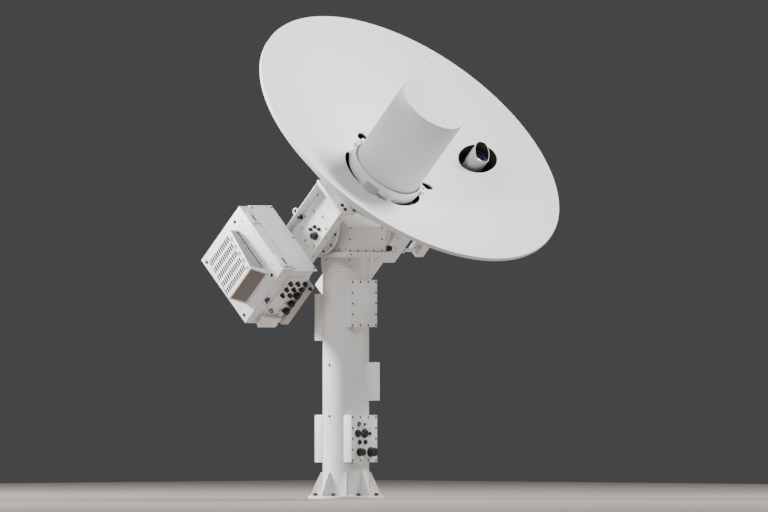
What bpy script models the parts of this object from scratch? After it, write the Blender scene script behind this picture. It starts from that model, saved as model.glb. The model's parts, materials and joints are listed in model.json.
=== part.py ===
"""Tracking dish antenna on a bolted pedestal column.

Metres, +Z up. The origin is the centre of the base flange's underside, on the
column's axis. The dish faces -Y and up, at REST_ELEVATION above the horizon.

Three frames hold the parts:
  world           the pedestal and the turntable, which turns about +Z
  elevation_axis  the tipping frame: x across, y away from the target, z up the dish
  lid_hinge_axis  the electronics box's lid
"""

import math

import bmesh
import bpy
from mathutils import Matrix, Vector

# ---------------------------------------------------------------- driving sizes
GAP = 0.0003                # between pieces that touch
RUNNING_GAP = 0.0012        # round a turning piece, more than its flats need

# sides on round pieces
LARGE_STEPS = 40
ROUND_STEPS = 32
SMALL_STEPS = 20
BALL_STEPS = 16
BALL_ARCS = 5

# pedestal
BASE_R = 0.264
BASE_T = 0.020
BOLT_CIRCLE_R = 0.230
BOLT_HOLE_R = 0.012
GUSSET_COUNT = 8
GUSSET_H = 0.165
GUSSET_REACH = 0.246
GUSSET_T = 0.012
GUSSET_LAND = 0.012
COLUMN_R = 0.162
COLUMN_WALL = 0.010
COLUMN_TOP = 1.590
TOP_RING_R = 0.170
TOP_RING_TOP = 1.617
TOP_RING_BORE_R = 0.112
COLLAR_R = 0.174
COLLAR_BORE_R = 0.1555
HEAD_BOTTOM = 1.689

# boxes on the column
BOX_HALF_W = 0.1275
BOX_REACH = 0.178
BOX_WALL = 0.005
LID_T = 0.004
CABLE_PORT_R = 0.035
FRONT_UPPER_Z = (1.201, 1.530)
FRONT_LOWER_Z = (0.256, 0.585)
REAR_UPPER_Z = (1.105, 1.432)
REAR_LOWER_Z = (0.253, 0.585)
SIDE_COVER_Z = (0.686, 0.954)
SIDE_COVER_HALF_W = 0.153
SIDE_COVER_REACH = 0.183

# connector panel, on the front lower box: (x, z) of each fitting
BUTTON_XZ = (-0.051, 0.523)
BUTTON_R = 0.013
BUTTON_STEM_R = 0.008
BUTTON_TRAVEL = 0.003
TOGGLE_XZ = (0.002, 0.5215)
TOGGLE_BALL_R = 0.0045
TOGGLE_TIP_R = 0.0025
TOGGLE_REACH = 0.022
PANEL_CONNECTORS = {        # x, z, radius, length
    "power_connector_left": (-0.047, 0.327, 0.027, 0.042),
    "power_connector_right": (0.063, 0.327, 0.032, 0.046),
}

# turntable head
PLATE_HALF = (0.217, 0.238)
PLATE_Z = (1.6895, 1.726)
PLATE_CORNER = 0.030
PLATE_BORE_R = 0.055
HOUSING_HALF_X = 0.188
HOUSING_HALF_Y = 0.211
HOUSING_SHOULDER_Z = 1.905
HOUSING_ROOF_Z = 1.985
HOUSING_ROOF_HALF_Y = 0.110
HOUSING_WALL = 0.008
HOUSING_FRAME = 0.028
HEAD_COVER_T = 0.004
AZ_PINION_Y = 0.0905
AZ_PINION_R = 0.028
AZ_GEAR_BORE_R = 0.120
AZ_GEAR_R = 0.137
AZ_BEARING_R = 0.1545
AZ_GEAR_TOP = 1.665
AZ_PINION_Z = (1.640, 1.664)
AZ_BEARING_BOTTOM = 1.6205
AZ_MOTOR_R = 0.044
AZ_MOTOR_TOP = 1.820
AZ_MOTOR_FLANGE_R = 0.050
AZ_MOTOR_PILOT_R = 0.025
DRIVE_SHAFT_R = 0.008
SLIP_RING_R = 0.038
SLIP_RING_Z = (1.480, 1.634)
SLIP_RING_FLANGE_R = 0.145
LEDGE_T = 0.017

# elevation drive
ELEVATION_Z = 1.890
REST_ELEVATION = math.radians(45)
SHAFT_R = 0.045
BEARING_R = 0.075
BEARING_X = (0.200, 0.230)
BEARING_HOUSING_R = 0.105
BEARING_COLLAR_R = 0.117
BEARING_HOUSING_END = 0.243
HUB_FLANGE_R = 0.182
HUB_FLANGE_X = (0.2436, 0.262)
HUB_R = 0.140
EL_GEAR_R = 0.072
EL_PINION_R = 0.0245
EL_DRIVE_DROP = 0.097
EL_DRIVE_X = (0.020, 0.045)
EL_MOTOR_R = 0.038
EL_MOTOR_TAIL_X = -0.120
EL_MOTOR_FOOT = (0.110, 0.030)

# sprung ball knobs that lock the two axes
LOCK_STEM_R = 0.006
LOCK_BALL_R = 0.014
AZ_LOCK_XY = (-0.2035, -0.010)
EL_LOCK_FU = (-0.027, 0.137)

# tipping frame: x across, f along the boresight, u up the dish
ARM_WEB_X = 0.3083
ARM_WEB_T = 0.006
ARM_EDGE_X = 0.382
ARM_HALF_U = 0.159
ARM_FLANGE_T = 0.006
ARM_F = (-0.715, 0.302)
ARM_END_T = 0.012
MOUNT_PLATE_F = (0.3023, 0.318)
MOUNT_PLATE_HALF = (0.385, 0.165)

# dish
DISH_R = 1.200
FOCAL = 0.900
VERTEX_F = 0.505
DISH_T = 0.010
RIM_DEPTH = 0.028
DISH_BORE_R = 0.080
DISH_STEPS = 48
DISH_RINGS = 9
DRUM_R = 0.260
DRUM_WALL = 0.020
RIB_COUNT = 8
RIB_END_R = 0.950
RIB_T = 0.008
RIB_STATIONS = 6
RIB_CLEAR = 0.0015
RIB_TIP_DEPTH = 0.020
RIB_ROOT_DEPTH = 0.145
RADOME_R = 0.250
RADOME_WALL = 0.004
RADOME_TOP_F = 1.230
CLAMP_RING_R = (0.262, 0.290)
CLAMP_RING_H = 0.072
CLAMP_RING_WALL = 0.008
CAMERA_X = 0.815
CAMERA_PORT_R = 0.132
CAMERA_R = 0.066
CAMERA_FLOOR_F = 0.560
CAMERA_CUP_F = 0.665
CAMERA_CUP_WALL = 0.004
CAMERA_HOOD_F = 0.640
CAMERA_NOSE_F = 0.728
CAMERA_VISOR_F = 0.795
CAMERA_LENS_F = 0.705
HORN_F = (0.400, 0.640, 0.780)
HORN_R = (0.060, 0.105)
HORN_FOOT_R = 0.110
SUBREFLECTOR_F = (1.060, 1.085, 1.125)
SUBREFLECTOR_R = 0.140
SUBREFLECTOR_STEM_R = 0.030

# electronics box on the left arm
CASE_X = (-0.610, -0.3823)
CASE_F = (-0.678, -0.141)
CASE_U = (-0.257, 0.365)
CASE_WALL = 0.003
LID_X = (-0.697, -0.6108)
LID_WALL = 0.003
LID_PIN_X = -0.6104
LID_PIN_F = -0.129
FACE_PLATE_F = (-0.1407, -0.135)
FACE_PLATE_U = (-0.283, 0.365)
VENT_R = 0.090
VENT_FU = (-0.420, 0.060)
HOOD_F = (-0.575, -0.268)
HOOD_U = (-0.177, -0.120, 0.255)
HOOD_OUT = (0.135, 0.052)
HOOD_WALL = 0.003
BRACKET_U = (-0.290, -0.1593)
BRACKET_F = (-0.660, -0.290)
BRACKET_X = -0.380
BRACKET_WALL = 0.006
GLAND_PLATE_T = 0.006
GLAND_X0 = -0.541
GLAND_F0 = -0.277
GLAND_PITCH = (0.0715, 0.057)
GLAND_SMALL = (0.013, 0.020)
GLAND_LARGE = (0.021, 0.030)
GLAND_LARGE_X = -0.4055
GLAND_LARGE_F = (-0.391, -0.469, -0.542)
GLAND_PLATE_X = (-0.590, -0.3823)
GLAND_PLATE_F = (-0.600, -0.220)
FILTER_BOX_H = 0.040
AMPLIFIER_X = (-0.510, -0.4123)
AMPLIFIER_F = (-0.600, -0.200)
AMPLIFIER_U = (0.100, 0.280)
LATCH_XF = (-0.646, -0.445)
LATCH_STEM_R = 0.006
LATCH_R = 0.014
FAN_HUB_R = 0.028
FAN_BLADES = 5
FAN_HUB_T = 0.026
FAN_SHAFT_R = 0.004

# right side of the tipping frame
SERVO_X = (0.3825, 0.497)
SERVO_F = (-0.180, 0.290)
SERVO_U = (-0.159, 0.140)
SERVO_WALL = 0.004
OUTRIGGER_X = (0.664, 0.740)
OUTRIGGER_U = (-0.159, -0.064)
OUTRIGGER_TAIL_F = -0.123
OUTRIGGER_WALL = 0.005
TIE_ROD_R = 0.0125
TIE_ROD_FU = (-0.070, -0.142)
TIE_NUT_R = 0.021
TIE_NUT_T = 0.012

# (colour, roughness, metallic)
FINISHES = {
    "white_paint": ((0.80, 0.79, 0.77), 0.42, 0.0),
    "dish_coat": ((0.78, 0.77, 0.75), 0.55, 0.0),
    "radome_shell": ((0.74, 0.72, 0.71), 0.50, 0.0),
    "grey_paint": ((0.45, 0.45, 0.45), 0.50, 0.0),
    "black_plastic": ((0.02, 0.02, 0.02), 0.40, 0.0),
    "green_plastic": ((0.02, 0.30, 0.10), 0.35, 0.0),
    "steel": ((0.60, 0.60, 0.60), 0.30, 1.0),
    "aluminium": ((0.70, 0.70, 0.71), 0.38, 1.0),
    "lens_glass": ((0.02, 0.02, 0.05), 0.05, 0.0),
}

AXIS_TURN = {
    "X": Matrix.Rotation(math.radians(90), 4, "Y"),
    "Y": Matrix.Rotation(math.radians(-90), 4, "X"),
    "Z": Matrix.Identity(4),
}


# ---------------------------------------------------------------- shape helpers
def add_box(bm, low, high):
    """A block between two corners."""
    low, high = Vector(low), Vector(high)
    place = Matrix.Translation((low + high) / 2) @ Matrix.Diagonal((*(high - low), 1))
    bmesh.ops.create_cube(bm, size=1, matrix=place)


def add_cylinder(bm, axis, centre, radius, span, segments=32, end_radius=None):
    """A closed cylinder or cone along an axis, between two stations on it."""
    middle = Vector(centre)
    middle["XYZ".index(axis)] = (span[0] + span[1]) / 2
    bmesh.ops.create_cone(
        bm,
        cap_ends=True,
        segments=segments,
        radius1=radius,
        radius2=radius if end_radius is None else end_radius,
        depth=span[1] - span[0],
        matrix=Matrix.Translation(middle) @ AXIS_TURN[axis],
    )


def add_turned(bm, profile, axis="Z", centre=(0, 0, 0), steps=ROUND_STEPS):
    """A closed (radius, station) outline spun once round an axis."""
    points = [bm.verts.new((r, 0, h)) for r, h in profile]
    edges = [bm.edges.new((a, b)) for a, b in zip(points, points[1:] + points[:1])]
    before = set(bm.verts) - set(points)
    bmesh.ops.spin(
        bm,
        geom=points + edges,
        axis=(0, 0, 1),
        cent=(0, 0, 0),
        angle=math.tau,
        steps=steps,
        use_merge=True,
    )
    spun = [v for v in bm.verts if v not in before]
    bmesh.ops.remove_doubles(bm, verts=spun, dist=1e-6)
    spun = [v for v in bm.verts if v not in before]
    bmesh.ops.transform(
        bm, verts=spun, matrix=Matrix.Translation(centre) @ AXIS_TURN[axis]
    )


def add_prism(bm, outline, axis, span):
    """A flat outline pushed along an axis; its two numbers are the other axes in order."""
    index = "XYZ".index(axis)

    def corner(pair):
        values = list(pair)
        values.insert(index, span[0])
        return bm.verts.new(values)

    face = bm.faces.new([corner(pair) for pair in outline])
    push = Vector((0, 0, 0))
    push[index] = span[1] - span[0]
    made = bmesh.ops.extrude_face_region(bm, geom=[face])["geom"]
    moved = [item for item in made if isinstance(item, bmesh.types.BMVert)]
    bmesh.ops.translate(bm, verts=moved, vec=push)


def tube_profile(inner, outer, low, high):
    return [(inner, low), (outer, low), (outer, high), (inner, high)]


def fu_box(bm, xs, fs, us):
    """A block in the tipping frame, whose y runs against the boresight."""
    add_box(bm, (xs[0], -fs[1], us[0]), (xs[1], -fs[0], us[1]))


def append(target, source):
    """Adds one bmesh's shapes to another and frees it."""
    mesh = bpy.data.meshes.new("carried")
    source.to_mesh(mesh)
    source.free()
    target.from_mesh(mesh)
    bpy.data.meshes.remove(mesh)


def wheel(shape, axis, count, phase=0.0):
    """Copies of a shape round an axis; shape(bm) draws one."""
    ring = bmesh.new()
    for index in range(count):
        one = bmesh.new()
        shape(one)
        turn = Matrix.Rotation(math.tau * (index + phase) / count, 4, axis)
        bmesh.ops.transform(one, matrix=turn, verts=one.verts)
        append(ring, one)
    return ring


def ball_profile(centre, radius, stem_r, way):
    """(radius, station) points of a ball on a stem, from the stem to the far pole."""
    start = math.asin(stem_r / radius)
    points = []
    for index in range(BALL_ARCS):
        angle = start + (math.pi - start) * index / BALL_ARCS
        points.append((radius * math.sin(angle), centre - way * radius * math.cos(angle)))
    points.append((0, centre + way * radius))
    return points


def dish_front(radius):
    return VERTEX_F + radius**2 / (4 * FOCAL)


def dish_back(radius):
    return dish_front(radius) - DISH_T


def facet_rise():
    """How far a flat between two of the dish's rings stands proud of the parabola."""
    spacing = (DISH_R - DISH_BORE_R) / DISH_RINGS
    return spacing**2 / (16 * FOCAL)


# ---------------------------------------------------------------- object helpers
def make_empty(name, location, parent=None, rotation=(0, 0, 0)):
    empty = bpy.data.objects.new(name, None)
    bpy.context.scene.collection.objects.link(empty)
    empty.parent = parent
    empty.location = location
    empty.rotation_euler = rotation
    return empty


def make_material(name, finish):
    colour, roughness, metallic = FINISHES[finish]
    material = bpy.data.materials.new(f"{name}_{finish}")
    material.use_nodes = True
    shader = material.node_tree.nodes["Principled BSDF"]
    shader.inputs["Base Color"].default_value = (*colour, 1)
    shader.inputs["Roughness"].default_value = roughness
    shader.inputs["Metallic"].default_value = metallic
    return material


def make_object(name, bm, parent=None, origin=(0, 0, 0)):
    """An object with its origin at a point of its parent's frame."""
    bmesh.ops.recalc_face_normals(bm, faces=bm.faces)
    bmesh.ops.translate(bm, verts=bm.verts, vec=-Vector(origin))
    mesh = bpy.data.meshes.new(name)
    bm.to_mesh(mesh)
    bm.free()
    mesh.shade_smooth()
    mesh.set_sharp_from_angle(angle=math.radians(35))
    thing = bpy.data.objects.new(name, mesh)
    bpy.context.scene.collection.objects.link(thing)
    thing.parent = parent
    thing.location = origin
    return thing


def make_part(name, bm, finish, parent=None, origin=(0, 0, 0)):
    part = make_object(name, bm, parent, origin)
    part.data.materials.append(make_material(name, finish))
    return part


def use_tool(part, bm, operation, label):
    """A Boolean on a part, with a hidden tool in the part's own frame."""
    tool = make_object(f"tool_{part.name}_{label}", bm, part.parent)
    tool.hide_render = True
    tool.display_type = "WIRE"
    step = part.modifiers.new(label, "BOOLEAN")
    step.operation = operation
    step.solver = "EXACT"
    step.object = tool


def cut(part, bm, label="cut"):
    use_tool(part, bm, "DIFFERENCE", label)


def fuse(part, bm, label="fuse"):
    use_tool(part, bm, "UNION", label)


# ---------------------------------------------------------------- pedestal
def build_base_flange():
    bm = bmesh.new()
    profile = [(0, 0), (BASE_R, 0), (BASE_R, BASE_T), (0, BASE_T)]
    add_turned(bm, profile, steps=LARGE_STEPS)
    base = make_part("base_flange", bm, "white_paint")

    root = COLUMN_R + GAP
    outline = [
        (root, BASE_T - 0.004),
        (GUSSET_REACH, BASE_T - 0.004),
        (GUSSET_REACH, BASE_T + 0.010),
        (root + GUSSET_LAND, BASE_T + GUSSET_H),
        (root, BASE_T + GUSSET_H),
    ]

    def gusset(one):
        add_prism(one, outline, "Y", (-GUSSET_T / 2, GUSSET_T / 2))

    def anchor_hole(one):
        add_cylinder(one, "Z", (BOLT_CIRCLE_R, 0, 0), BOLT_HOLE_R, (-0.01, BASE_T + 0.01), 12)

    fuse(base, wheel(gusset, "Z", GUSSET_COUNT), "gussets")
    cut(base, wheel(anchor_hole, "Z", GUSSET_COUNT, 0.5), "anchor_holes")


def build_column():
    bm = bmesh.new()
    inner = COLUMN_R - COLUMN_WALL
    ledge = TOP_RING_TOP - LEDGE_T
    profile = [
        (inner, BASE_T + GAP),
        (COLUMN_R, BASE_T + GAP),
        (COLUMN_R, COLUMN_TOP),
        (TOP_RING_R, COLUMN_TOP),
        (TOP_RING_R, TOP_RING_TOP),
        (TOP_RING_BORE_R, TOP_RING_TOP),
        (TOP_RING_BORE_R, ledge),
        (inner, ledge),
    ]
    add_turned(bm, profile, steps=LARGE_STEPS)
    column = make_part("column_tube", bm, "white_paint")
    ports = bmesh.new()
    reach = (COLUMN_R - 0.05, COLUMN_R + 0.02)
    for z_span in (FRONT_UPPER_Z, FRONT_LOWER_Z):
        centre = (0, 0, sum(z_span) / 2)
        add_cylinder(ports, "Y", centre, CABLE_PORT_R, (-reach[1], -reach[0]), 16)
    for z_span in (REAR_UPPER_Z, REAR_LOWER_Z):
        centre = (0, 0, sum(z_span) / 2)
        add_cylinder(ports, "Y", centre, CABLE_PORT_R, reach, 16)
    centre = (0, 0, sum(SIDE_COVER_Z) / 2)
    add_cylinder(ports, "X", centre, CABLE_PORT_R, reach, 16)
    cut(column, ports, "cable_ports")

    bm = bmesh.new()
    add_turned(
        bm,
        tube_profile(COLLAR_BORE_R, COLLAR_R, TOP_RING_TOP + GAP, HEAD_BOTTOM),
        steps=LARGE_STEPS,
    )
    make_part("azimuth_collar", bm, "white_paint")


def build_column_box(name, side, z_span):
    """A tray on the column's front (side -1) or back (side +1), and its lid."""
    face = side * BOX_REACH
    bm = bmesh.new()
    add_box(bm, (-BOX_HALF_W, min(face, 0), z_span[0]), (BOX_HALF_W, max(face, 0), z_span[1]))
    tray = make_part(f"{name}_box", bm, "white_paint")
    inside = bmesh.new()
    inner_x = BOX_HALF_W - BOX_WALL
    reach = side * (BOX_REACH + 0.01)
    add_box(
        inside,
        (-inner_x, min(reach, 0), z_span[0] + BOX_WALL),
        (inner_x, max(reach, 0), z_span[1] - BOX_WALL),
    )
    cut(tray, inside, "inside")
    pipe = bmesh.new()
    pipe_z = (z_span[0] - 0.02, z_span[1] + 0.02)
    add_cylinder(pipe, "Z", (0, 0, 0), COLUMN_R + 2 * GAP, pipe_z, LARGE_STEPS)
    cut(tray, pipe, "column")

    bm = bmesh.new()
    plane = face + side * GAP
    outer = plane + side * LID_T
    add_box(
        bm,
        (-BOX_HALF_W, min(plane, outer), z_span[0]),
        (BOX_HALF_W, max(plane, outer), z_span[1]),
    )
    return make_part(f"{name}_lid", bm, "white_paint")


def build_side_cover():
    bm = bmesh.new()
    add_box(
        bm,
        (0, -SIDE_COVER_HALF_W, SIDE_COVER_Z[0]),
        (SIDE_COVER_REACH, SIDE_COVER_HALF_W, SIDE_COVER_Z[1]),
    )
    cover = make_part("side_cover", bm, "white_paint")
    inside = bmesh.new()
    inner_y = SIDE_COVER_HALF_W - BOX_WALL
    add_box(
        inside,
        (-0.01, -inner_y, SIDE_COVER_Z[0] + BOX_WALL),
        (SIDE_COVER_REACH - BOX_WALL, inner_y, SIDE_COVER_Z[1] - BOX_WALL),
    )
    cut(cover, inside, "inside")
    pipe = bmesh.new()
    pipe_z = (SIDE_COVER_Z[0] - 0.02, SIDE_COVER_Z[1] + 0.02)
    add_cylinder(pipe, "Z", (0, 0, 0), COLUMN_R + 2 * GAP, pipe_z, LARGE_STEPS)
    cut(cover, pipe, "column")


def build_panel_fittings(panel):
    """The control panel's button, switch and connectors."""
    face = -(BOX_REACH + GAP + LID_T)
    button = (BUTTON_XZ[0], 0, BUTTON_XZ[1])
    toggle = (TOGGLE_XZ[0], 0, TOGGLE_XZ[1])
    holes = bmesh.new()
    through = (face - 0.01, face + 0.01)
    add_cylinder(holes, "Y", button, BUTTON_STEM_R + 0.001, through, 16)
    add_cylinder(holes, "Y", toggle, TOGGLE_BALL_R + RUNNING_GAP, through, 16)
    cut(panel, holes, "switch_holes")
    build_button(face, button)
    build_toggle(face, toggle)
    for name, (x, z, radius, length) in PANEL_CONNECTORS.items():
        build_panel_connector(name, face - GAP, (x, 0, z), radius, length)


def build_button(face, button):
    bm = bmesh.new()
    cap = face - BUTTON_TRAVEL - 0.0015
    profile = [
        (0, face + 0.006),
        (BUTTON_STEM_R, face + 0.006),
        (BUTTON_STEM_R, cap),
        (BUTTON_R, cap),
        (BUTTON_R, cap - 0.006),
        (BUTTON_R - 0.002, cap - 0.008),
        (0, cap - 0.008),
    ]
    add_turned(bm, profile, "Y", button, 20)
    make_part("test_button", bm, "green_plastic", origin=(button[0], face, button[2]))


def build_toggle(face, toggle):
    bm = bmesh.new()
    profile = [
        (0, face + 0.008),
        (TOGGLE_BALL_R, face + 0.008),
        (TOGGLE_BALL_R, face - 0.001),
        (TOGGLE_TIP_R, face - TOGGLE_REACH),
        (0, face - TOGGLE_REACH),
    ]
    add_turned(bm, profile, "Y", toggle, 12)
    make_part("toggle_lever", bm, "steel", origin=(toggle[0], face, toggle[2]))


def build_panel_connector(name, root, centre, radius, length):
    bm = bmesh.new()
    flange_r, neck_r = radius * 1.12, radius * 0.90
    profile = [
        (0, root),
        (flange_r, root),
        (flange_r, root - 0.005),
        (neck_r, root - 0.005),
        (neck_r, root - 0.012),
        (radius, root - 0.012),
        (radius, root - length),
        (0, root - length),
    ]
    add_turned(bm, profile, "Y", centre, 24)
    make_part(name, bm, "black_plastic")


def build_column_insides():
    bm = bmesh.new()
    add_turned(
        bm,
        tube_profile(AZ_GEAR_BORE_R, AZ_GEAR_R, TOP_RING_TOP + GAP, AZ_GEAR_TOP),
    )
    make_part("azimuth_ring_gear", bm, "steel")
    bm = bmesh.new()
    ledge = TOP_RING_TOP - LEDGE_T - GAP
    flange = ledge - 0.009
    profile = [
        (0, SLIP_RING_Z[0]),
        (SLIP_RING_R, SLIP_RING_Z[0]),
        (SLIP_RING_R, flange),
        (SLIP_RING_FLANGE_R, flange),
        (SLIP_RING_FLANGE_R, ledge),
        (SLIP_RING_R, ledge),
        (SLIP_RING_R, SLIP_RING_Z[1]),
        (0, SLIP_RING_Z[1]),
    ]
    add_turned(bm, profile)
    make_part("slip_ring", bm, "aluminium")


# ---------------------------------------------------------------- turntable
def build_turntable(azimuth):
    bm = bmesh.new()
    half_x, half_y = PLATE_HALF
    cut_x, cut_y = half_x - PLATE_CORNER, half_y - PLATE_CORNER
    outline = [
        (half_x, -cut_y), (half_x, cut_y), (cut_x, half_y), (-cut_x, half_y),
        (-half_x, cut_y), (-half_x, -cut_y), (-cut_x, -half_y), (cut_x, -half_y),
    ]
    add_prism(bm, outline, "Z", PLATE_Z)
    plate = make_part("turntable_plate", bm, "white_paint", azimuth)
    holes = bmesh.new()
    through = (PLATE_Z[0] - 0.01, PLATE_Z[1] + 0.01)
    add_cylinder(holes, "Z", (0, 0, 0), PLATE_BORE_R, through, 24)
    add_cylinder(holes, "Z", (0, AZ_PINION_Y, 0), AZ_MOTOR_PILOT_R + 0.002, through, 24)
    add_cylinder(holes, "Z", (*AZ_LOCK_XY, 0), LOCK_STEM_R + 0.001, through, 16)
    cut(plate, holes, "holes")

    bm = bmesh.new()
    bore = AZ_GEAR_R + RUNNING_GAP
    add_turned(bm, tube_profile(bore, AZ_BEARING_R, AZ_BEARING_BOTTOM, PLATE_Z[0] - GAP))
    make_part("azimuth_bearing_ring", bm, "steel", azimuth)


def housing_outline(inset):
    """The head housing's outline across y and z, drawn in by an inset."""
    side = HOUSING_HALF_Y - inset
    roof = HOUSING_ROOF_HALF_Y - inset / 2
    base = PLATE_Z[1] + GAP if inset == 0 else PLATE_Z[1] - 0.02
    shoulder = HOUSING_SHOULDER_Z - inset * 0.7
    top = HOUSING_ROOF_Z - inset
    return [
        (-side, base), (side, base), (side, shoulder),
        (roof, top), (-roof, top), (-side, shoulder),
    ]


def build_head_housing(azimuth):
    bm = bmesh.new()
    add_prism(bm, housing_outline(0), "X", (-HOUSING_HALF_X, HOUSING_HALF_X))
    housing = make_part("head_housing", bm, "white_paint", azimuth)
    inside = bmesh.new()
    inner_x = HOUSING_HALF_X - HOUSING_WALL
    add_prism(inside, housing_outline(HOUSING_WALL), "X", (-inner_x, inner_x))
    cut(housing, inside, "inside")
    windows = bmesh.new()
    frame = HOUSING_FRAME
    opening_x = HOUSING_HALF_X - frame
    deep = HOUSING_HALF_Y + 0.01
    add_box(
        windows,
        (-opening_x, -deep, PLATE_Z[1] + frame),
        (opening_x, deep, HOUSING_SHOULDER_Z - frame),
    )
    cut(housing, windows, "windows")
    bore = bmesh.new()
    span = (-HOUSING_HALF_X - 0.01, HOUSING_HALF_X + 0.01)
    add_cylinder(bore, "X", (0, 0, ELEVATION_Z), SHAFT_R + 0.004, span, 32)
    cut(housing, bore, "shaft_bore")

    for name, side in (("head_front_cover", -1), ("head_rear_cover", 1)):
        bm = bmesh.new()
        near = side * (HOUSING_HALF_Y + GAP)
        far = near + side * HEAD_COVER_T
        half_x = HOUSING_HALF_X - 0.002
        add_box(
            bm,
            (-half_x, min(near, far), PLATE_Z[1] + 0.003),
            (half_x, max(near, far), HOUSING_SHOULDER_Z - 0.002),
        )
        make_part(name, bm, "white_paint", azimuth)


def build_elevation_bearings(azimuth):
    for name, side in (("left", -1), ("right", 1)):
        near = side * (HOUSING_HALF_X + GAP)
        step = side * (PLATE_HALF[0] + 0.001)
        far = side * BEARING_HOUSING_END
        bm = bmesh.new()
        seat = BEARING_R + GAP
        lip = SHAFT_R + 0.004
        profile = [
            (lip, near), (BEARING_HOUSING_R, near), (BEARING_HOUSING_R, step),
            (BEARING_COLLAR_R, step), (BEARING_COLLAR_R, far),
            (seat, far), (seat, side * BEARING_X[0]), (lip, side * BEARING_X[0]),
        ]
        add_turned(bm, profile, "X", (0, 0, ELEVATION_Z), ROUND_STEPS)
        make_part(f"bearing_housing_{name}", bm, "white_paint", azimuth)
        bm = bmesh.new()
        inner, outer = SHAFT_R + RUNNING_GAP, BEARING_R
        span = sorted((side * (BEARING_X[0] + GAP), side * BEARING_X[1]))
        add_turned(bm, tube_profile(inner, outer, *span), "X", (0, 0, ELEVATION_Z))
        make_part(f"elevation_bearing_{name}", bm, "steel", azimuth)


def build_azimuth_drive(azimuth):
    low, high = AZ_PINION_Z
    foot = PLATE_Z[1] + GAP
    flange = foot + 0.010
    bm = bmesh.new()
    profile = [
        (0, low - 0.002), (DRIVE_SHAFT_R, low - 0.002), (DRIVE_SHAFT_R, high + 0.003),
        (AZ_MOTOR_PILOT_R, high + 0.003), (AZ_MOTOR_PILOT_R, foot),
        (AZ_MOTOR_FLANGE_R, foot), (AZ_MOTOR_FLANGE_R, flange),
        (AZ_MOTOR_R, flange), (AZ_MOTOR_R, AZ_MOTOR_TOP), (0, AZ_MOTOR_TOP),
    ]
    centre = (0, AZ_PINION_Y, 0)
    add_turned(bm, profile, "Z", centre, SMALL_STEPS)
    make_part("azimuth_motor", bm, "grey_paint", azimuth)
    bm = bmesh.new()
    ring = tube_profile(DRIVE_SHAFT_R + RUNNING_GAP, AZ_PINION_R, low, high)
    add_turned(bm, ring, "Z", centre, SMALL_STEPS)
    make_part("azimuth_pinion", bm, "steel", azimuth, (0, AZ_PINION_Y, (low + high) / 2))


def build_elevation_drive(azimuth):
    drive_z = ELEVATION_Z - EL_DRIVE_DROP
    bm = bmesh.new()
    start, end = EL_DRIVE_X
    profile = [
        (0, EL_MOTOR_TAIL_X), (EL_MOTOR_R, EL_MOTOR_TAIL_X), (EL_MOTOR_R, start - 0.004),
        (DRIVE_SHAFT_R, start - 0.004), (DRIVE_SHAFT_R, end + 0.003), (0, end + 0.003),
    ]
    add_turned(bm, profile, "X", (0, 0, drive_z), SMALL_STEPS)
    motor = make_part("elevation_motor", bm, "grey_paint", azimuth)
    foot = bmesh.new()
    foot_x, foot_y = EL_MOTOR_FOOT
    add_box(foot, (-foot_x, -foot_y, PLATE_Z[1] + GAP), (0, foot_y, drive_z - EL_MOTOR_R / 2))
    fuse(motor, foot, "foot")
    bm = bmesh.new()
    ring = tube_profile(DRIVE_SHAFT_R + RUNNING_GAP, EL_PINION_R, start, end)
    add_turned(bm, ring, "X", (0, 0, drive_z), SMALL_STEPS)
    make_part("elevation_pinion", bm, "steel", azimuth, ((start + end) / 2, 0, drive_z))


def build_azimuth_lock(azimuth):
    """A sprung ball knob on the turntable plate that pins it to the collar's flange."""
    x, y = AZ_LOCK_XY
    top = PLATE_Z[1] + 0.002
    foot = PLATE_Z[0] + 0.004
    collar_r = LOCK_BALL_R * 0.8
    bm = bmesh.new()
    profile = [
        (0, foot), (LOCK_STEM_R, foot), (LOCK_STEM_R, top),
        (collar_r, top), (collar_r, top + 0.006), (LOCK_STEM_R, top + 0.008),
    ]
    profile += ball_profile(top + 0.010 + LOCK_BALL_R, LOCK_BALL_R, LOCK_STEM_R, 1)
    add_turned(bm, profile, "Z", (x, y, 0), BALL_STEPS)
    make_part("azimuth_lock_knob", bm, "steel", azimuth, (x, y, top))


# ---------------------------------------------------------------- tipping frame
def build_arm(name, side, tip):
    """A channel beam, open outwards, with a plate across each end."""
    def xs(a, b):
        return tuple(sorted((side * a, side * b)))

    bm = bmesh.new()
    fu_box(bm, xs(ARM_WEB_X, ARM_EDGE_X), ARM_F, (-ARM_HALF_U, ARM_HALF_U))
    arm = make_part(name, bm, "white_paint", tip)
    pocket = bmesh.new()
    fu_box(
        pocket,
        xs(ARM_WEB_X + ARM_WEB_T, ARM_EDGE_X + 0.01),
        (ARM_F[0] + ARM_FLANGE_T, ARM_F[1] - ARM_END_T),
        (-ARM_HALF_U + ARM_FLANGE_T, ARM_HALF_U - ARM_FLANGE_T),
    )
    cut(arm, pocket, "channel")
    if side < 0:
        hole = bmesh.new()
        x_span = xs(ARM_WEB_X - 0.01, ARM_EDGE_X)
        centre = (0, -EL_LOCK_FU[0], EL_LOCK_FU[1])
        add_cylinder(hole, "X", centre, LOCK_STEM_R + 0.001, x_span, 16)
        cut(arm, hole, "lock_hole")


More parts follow.
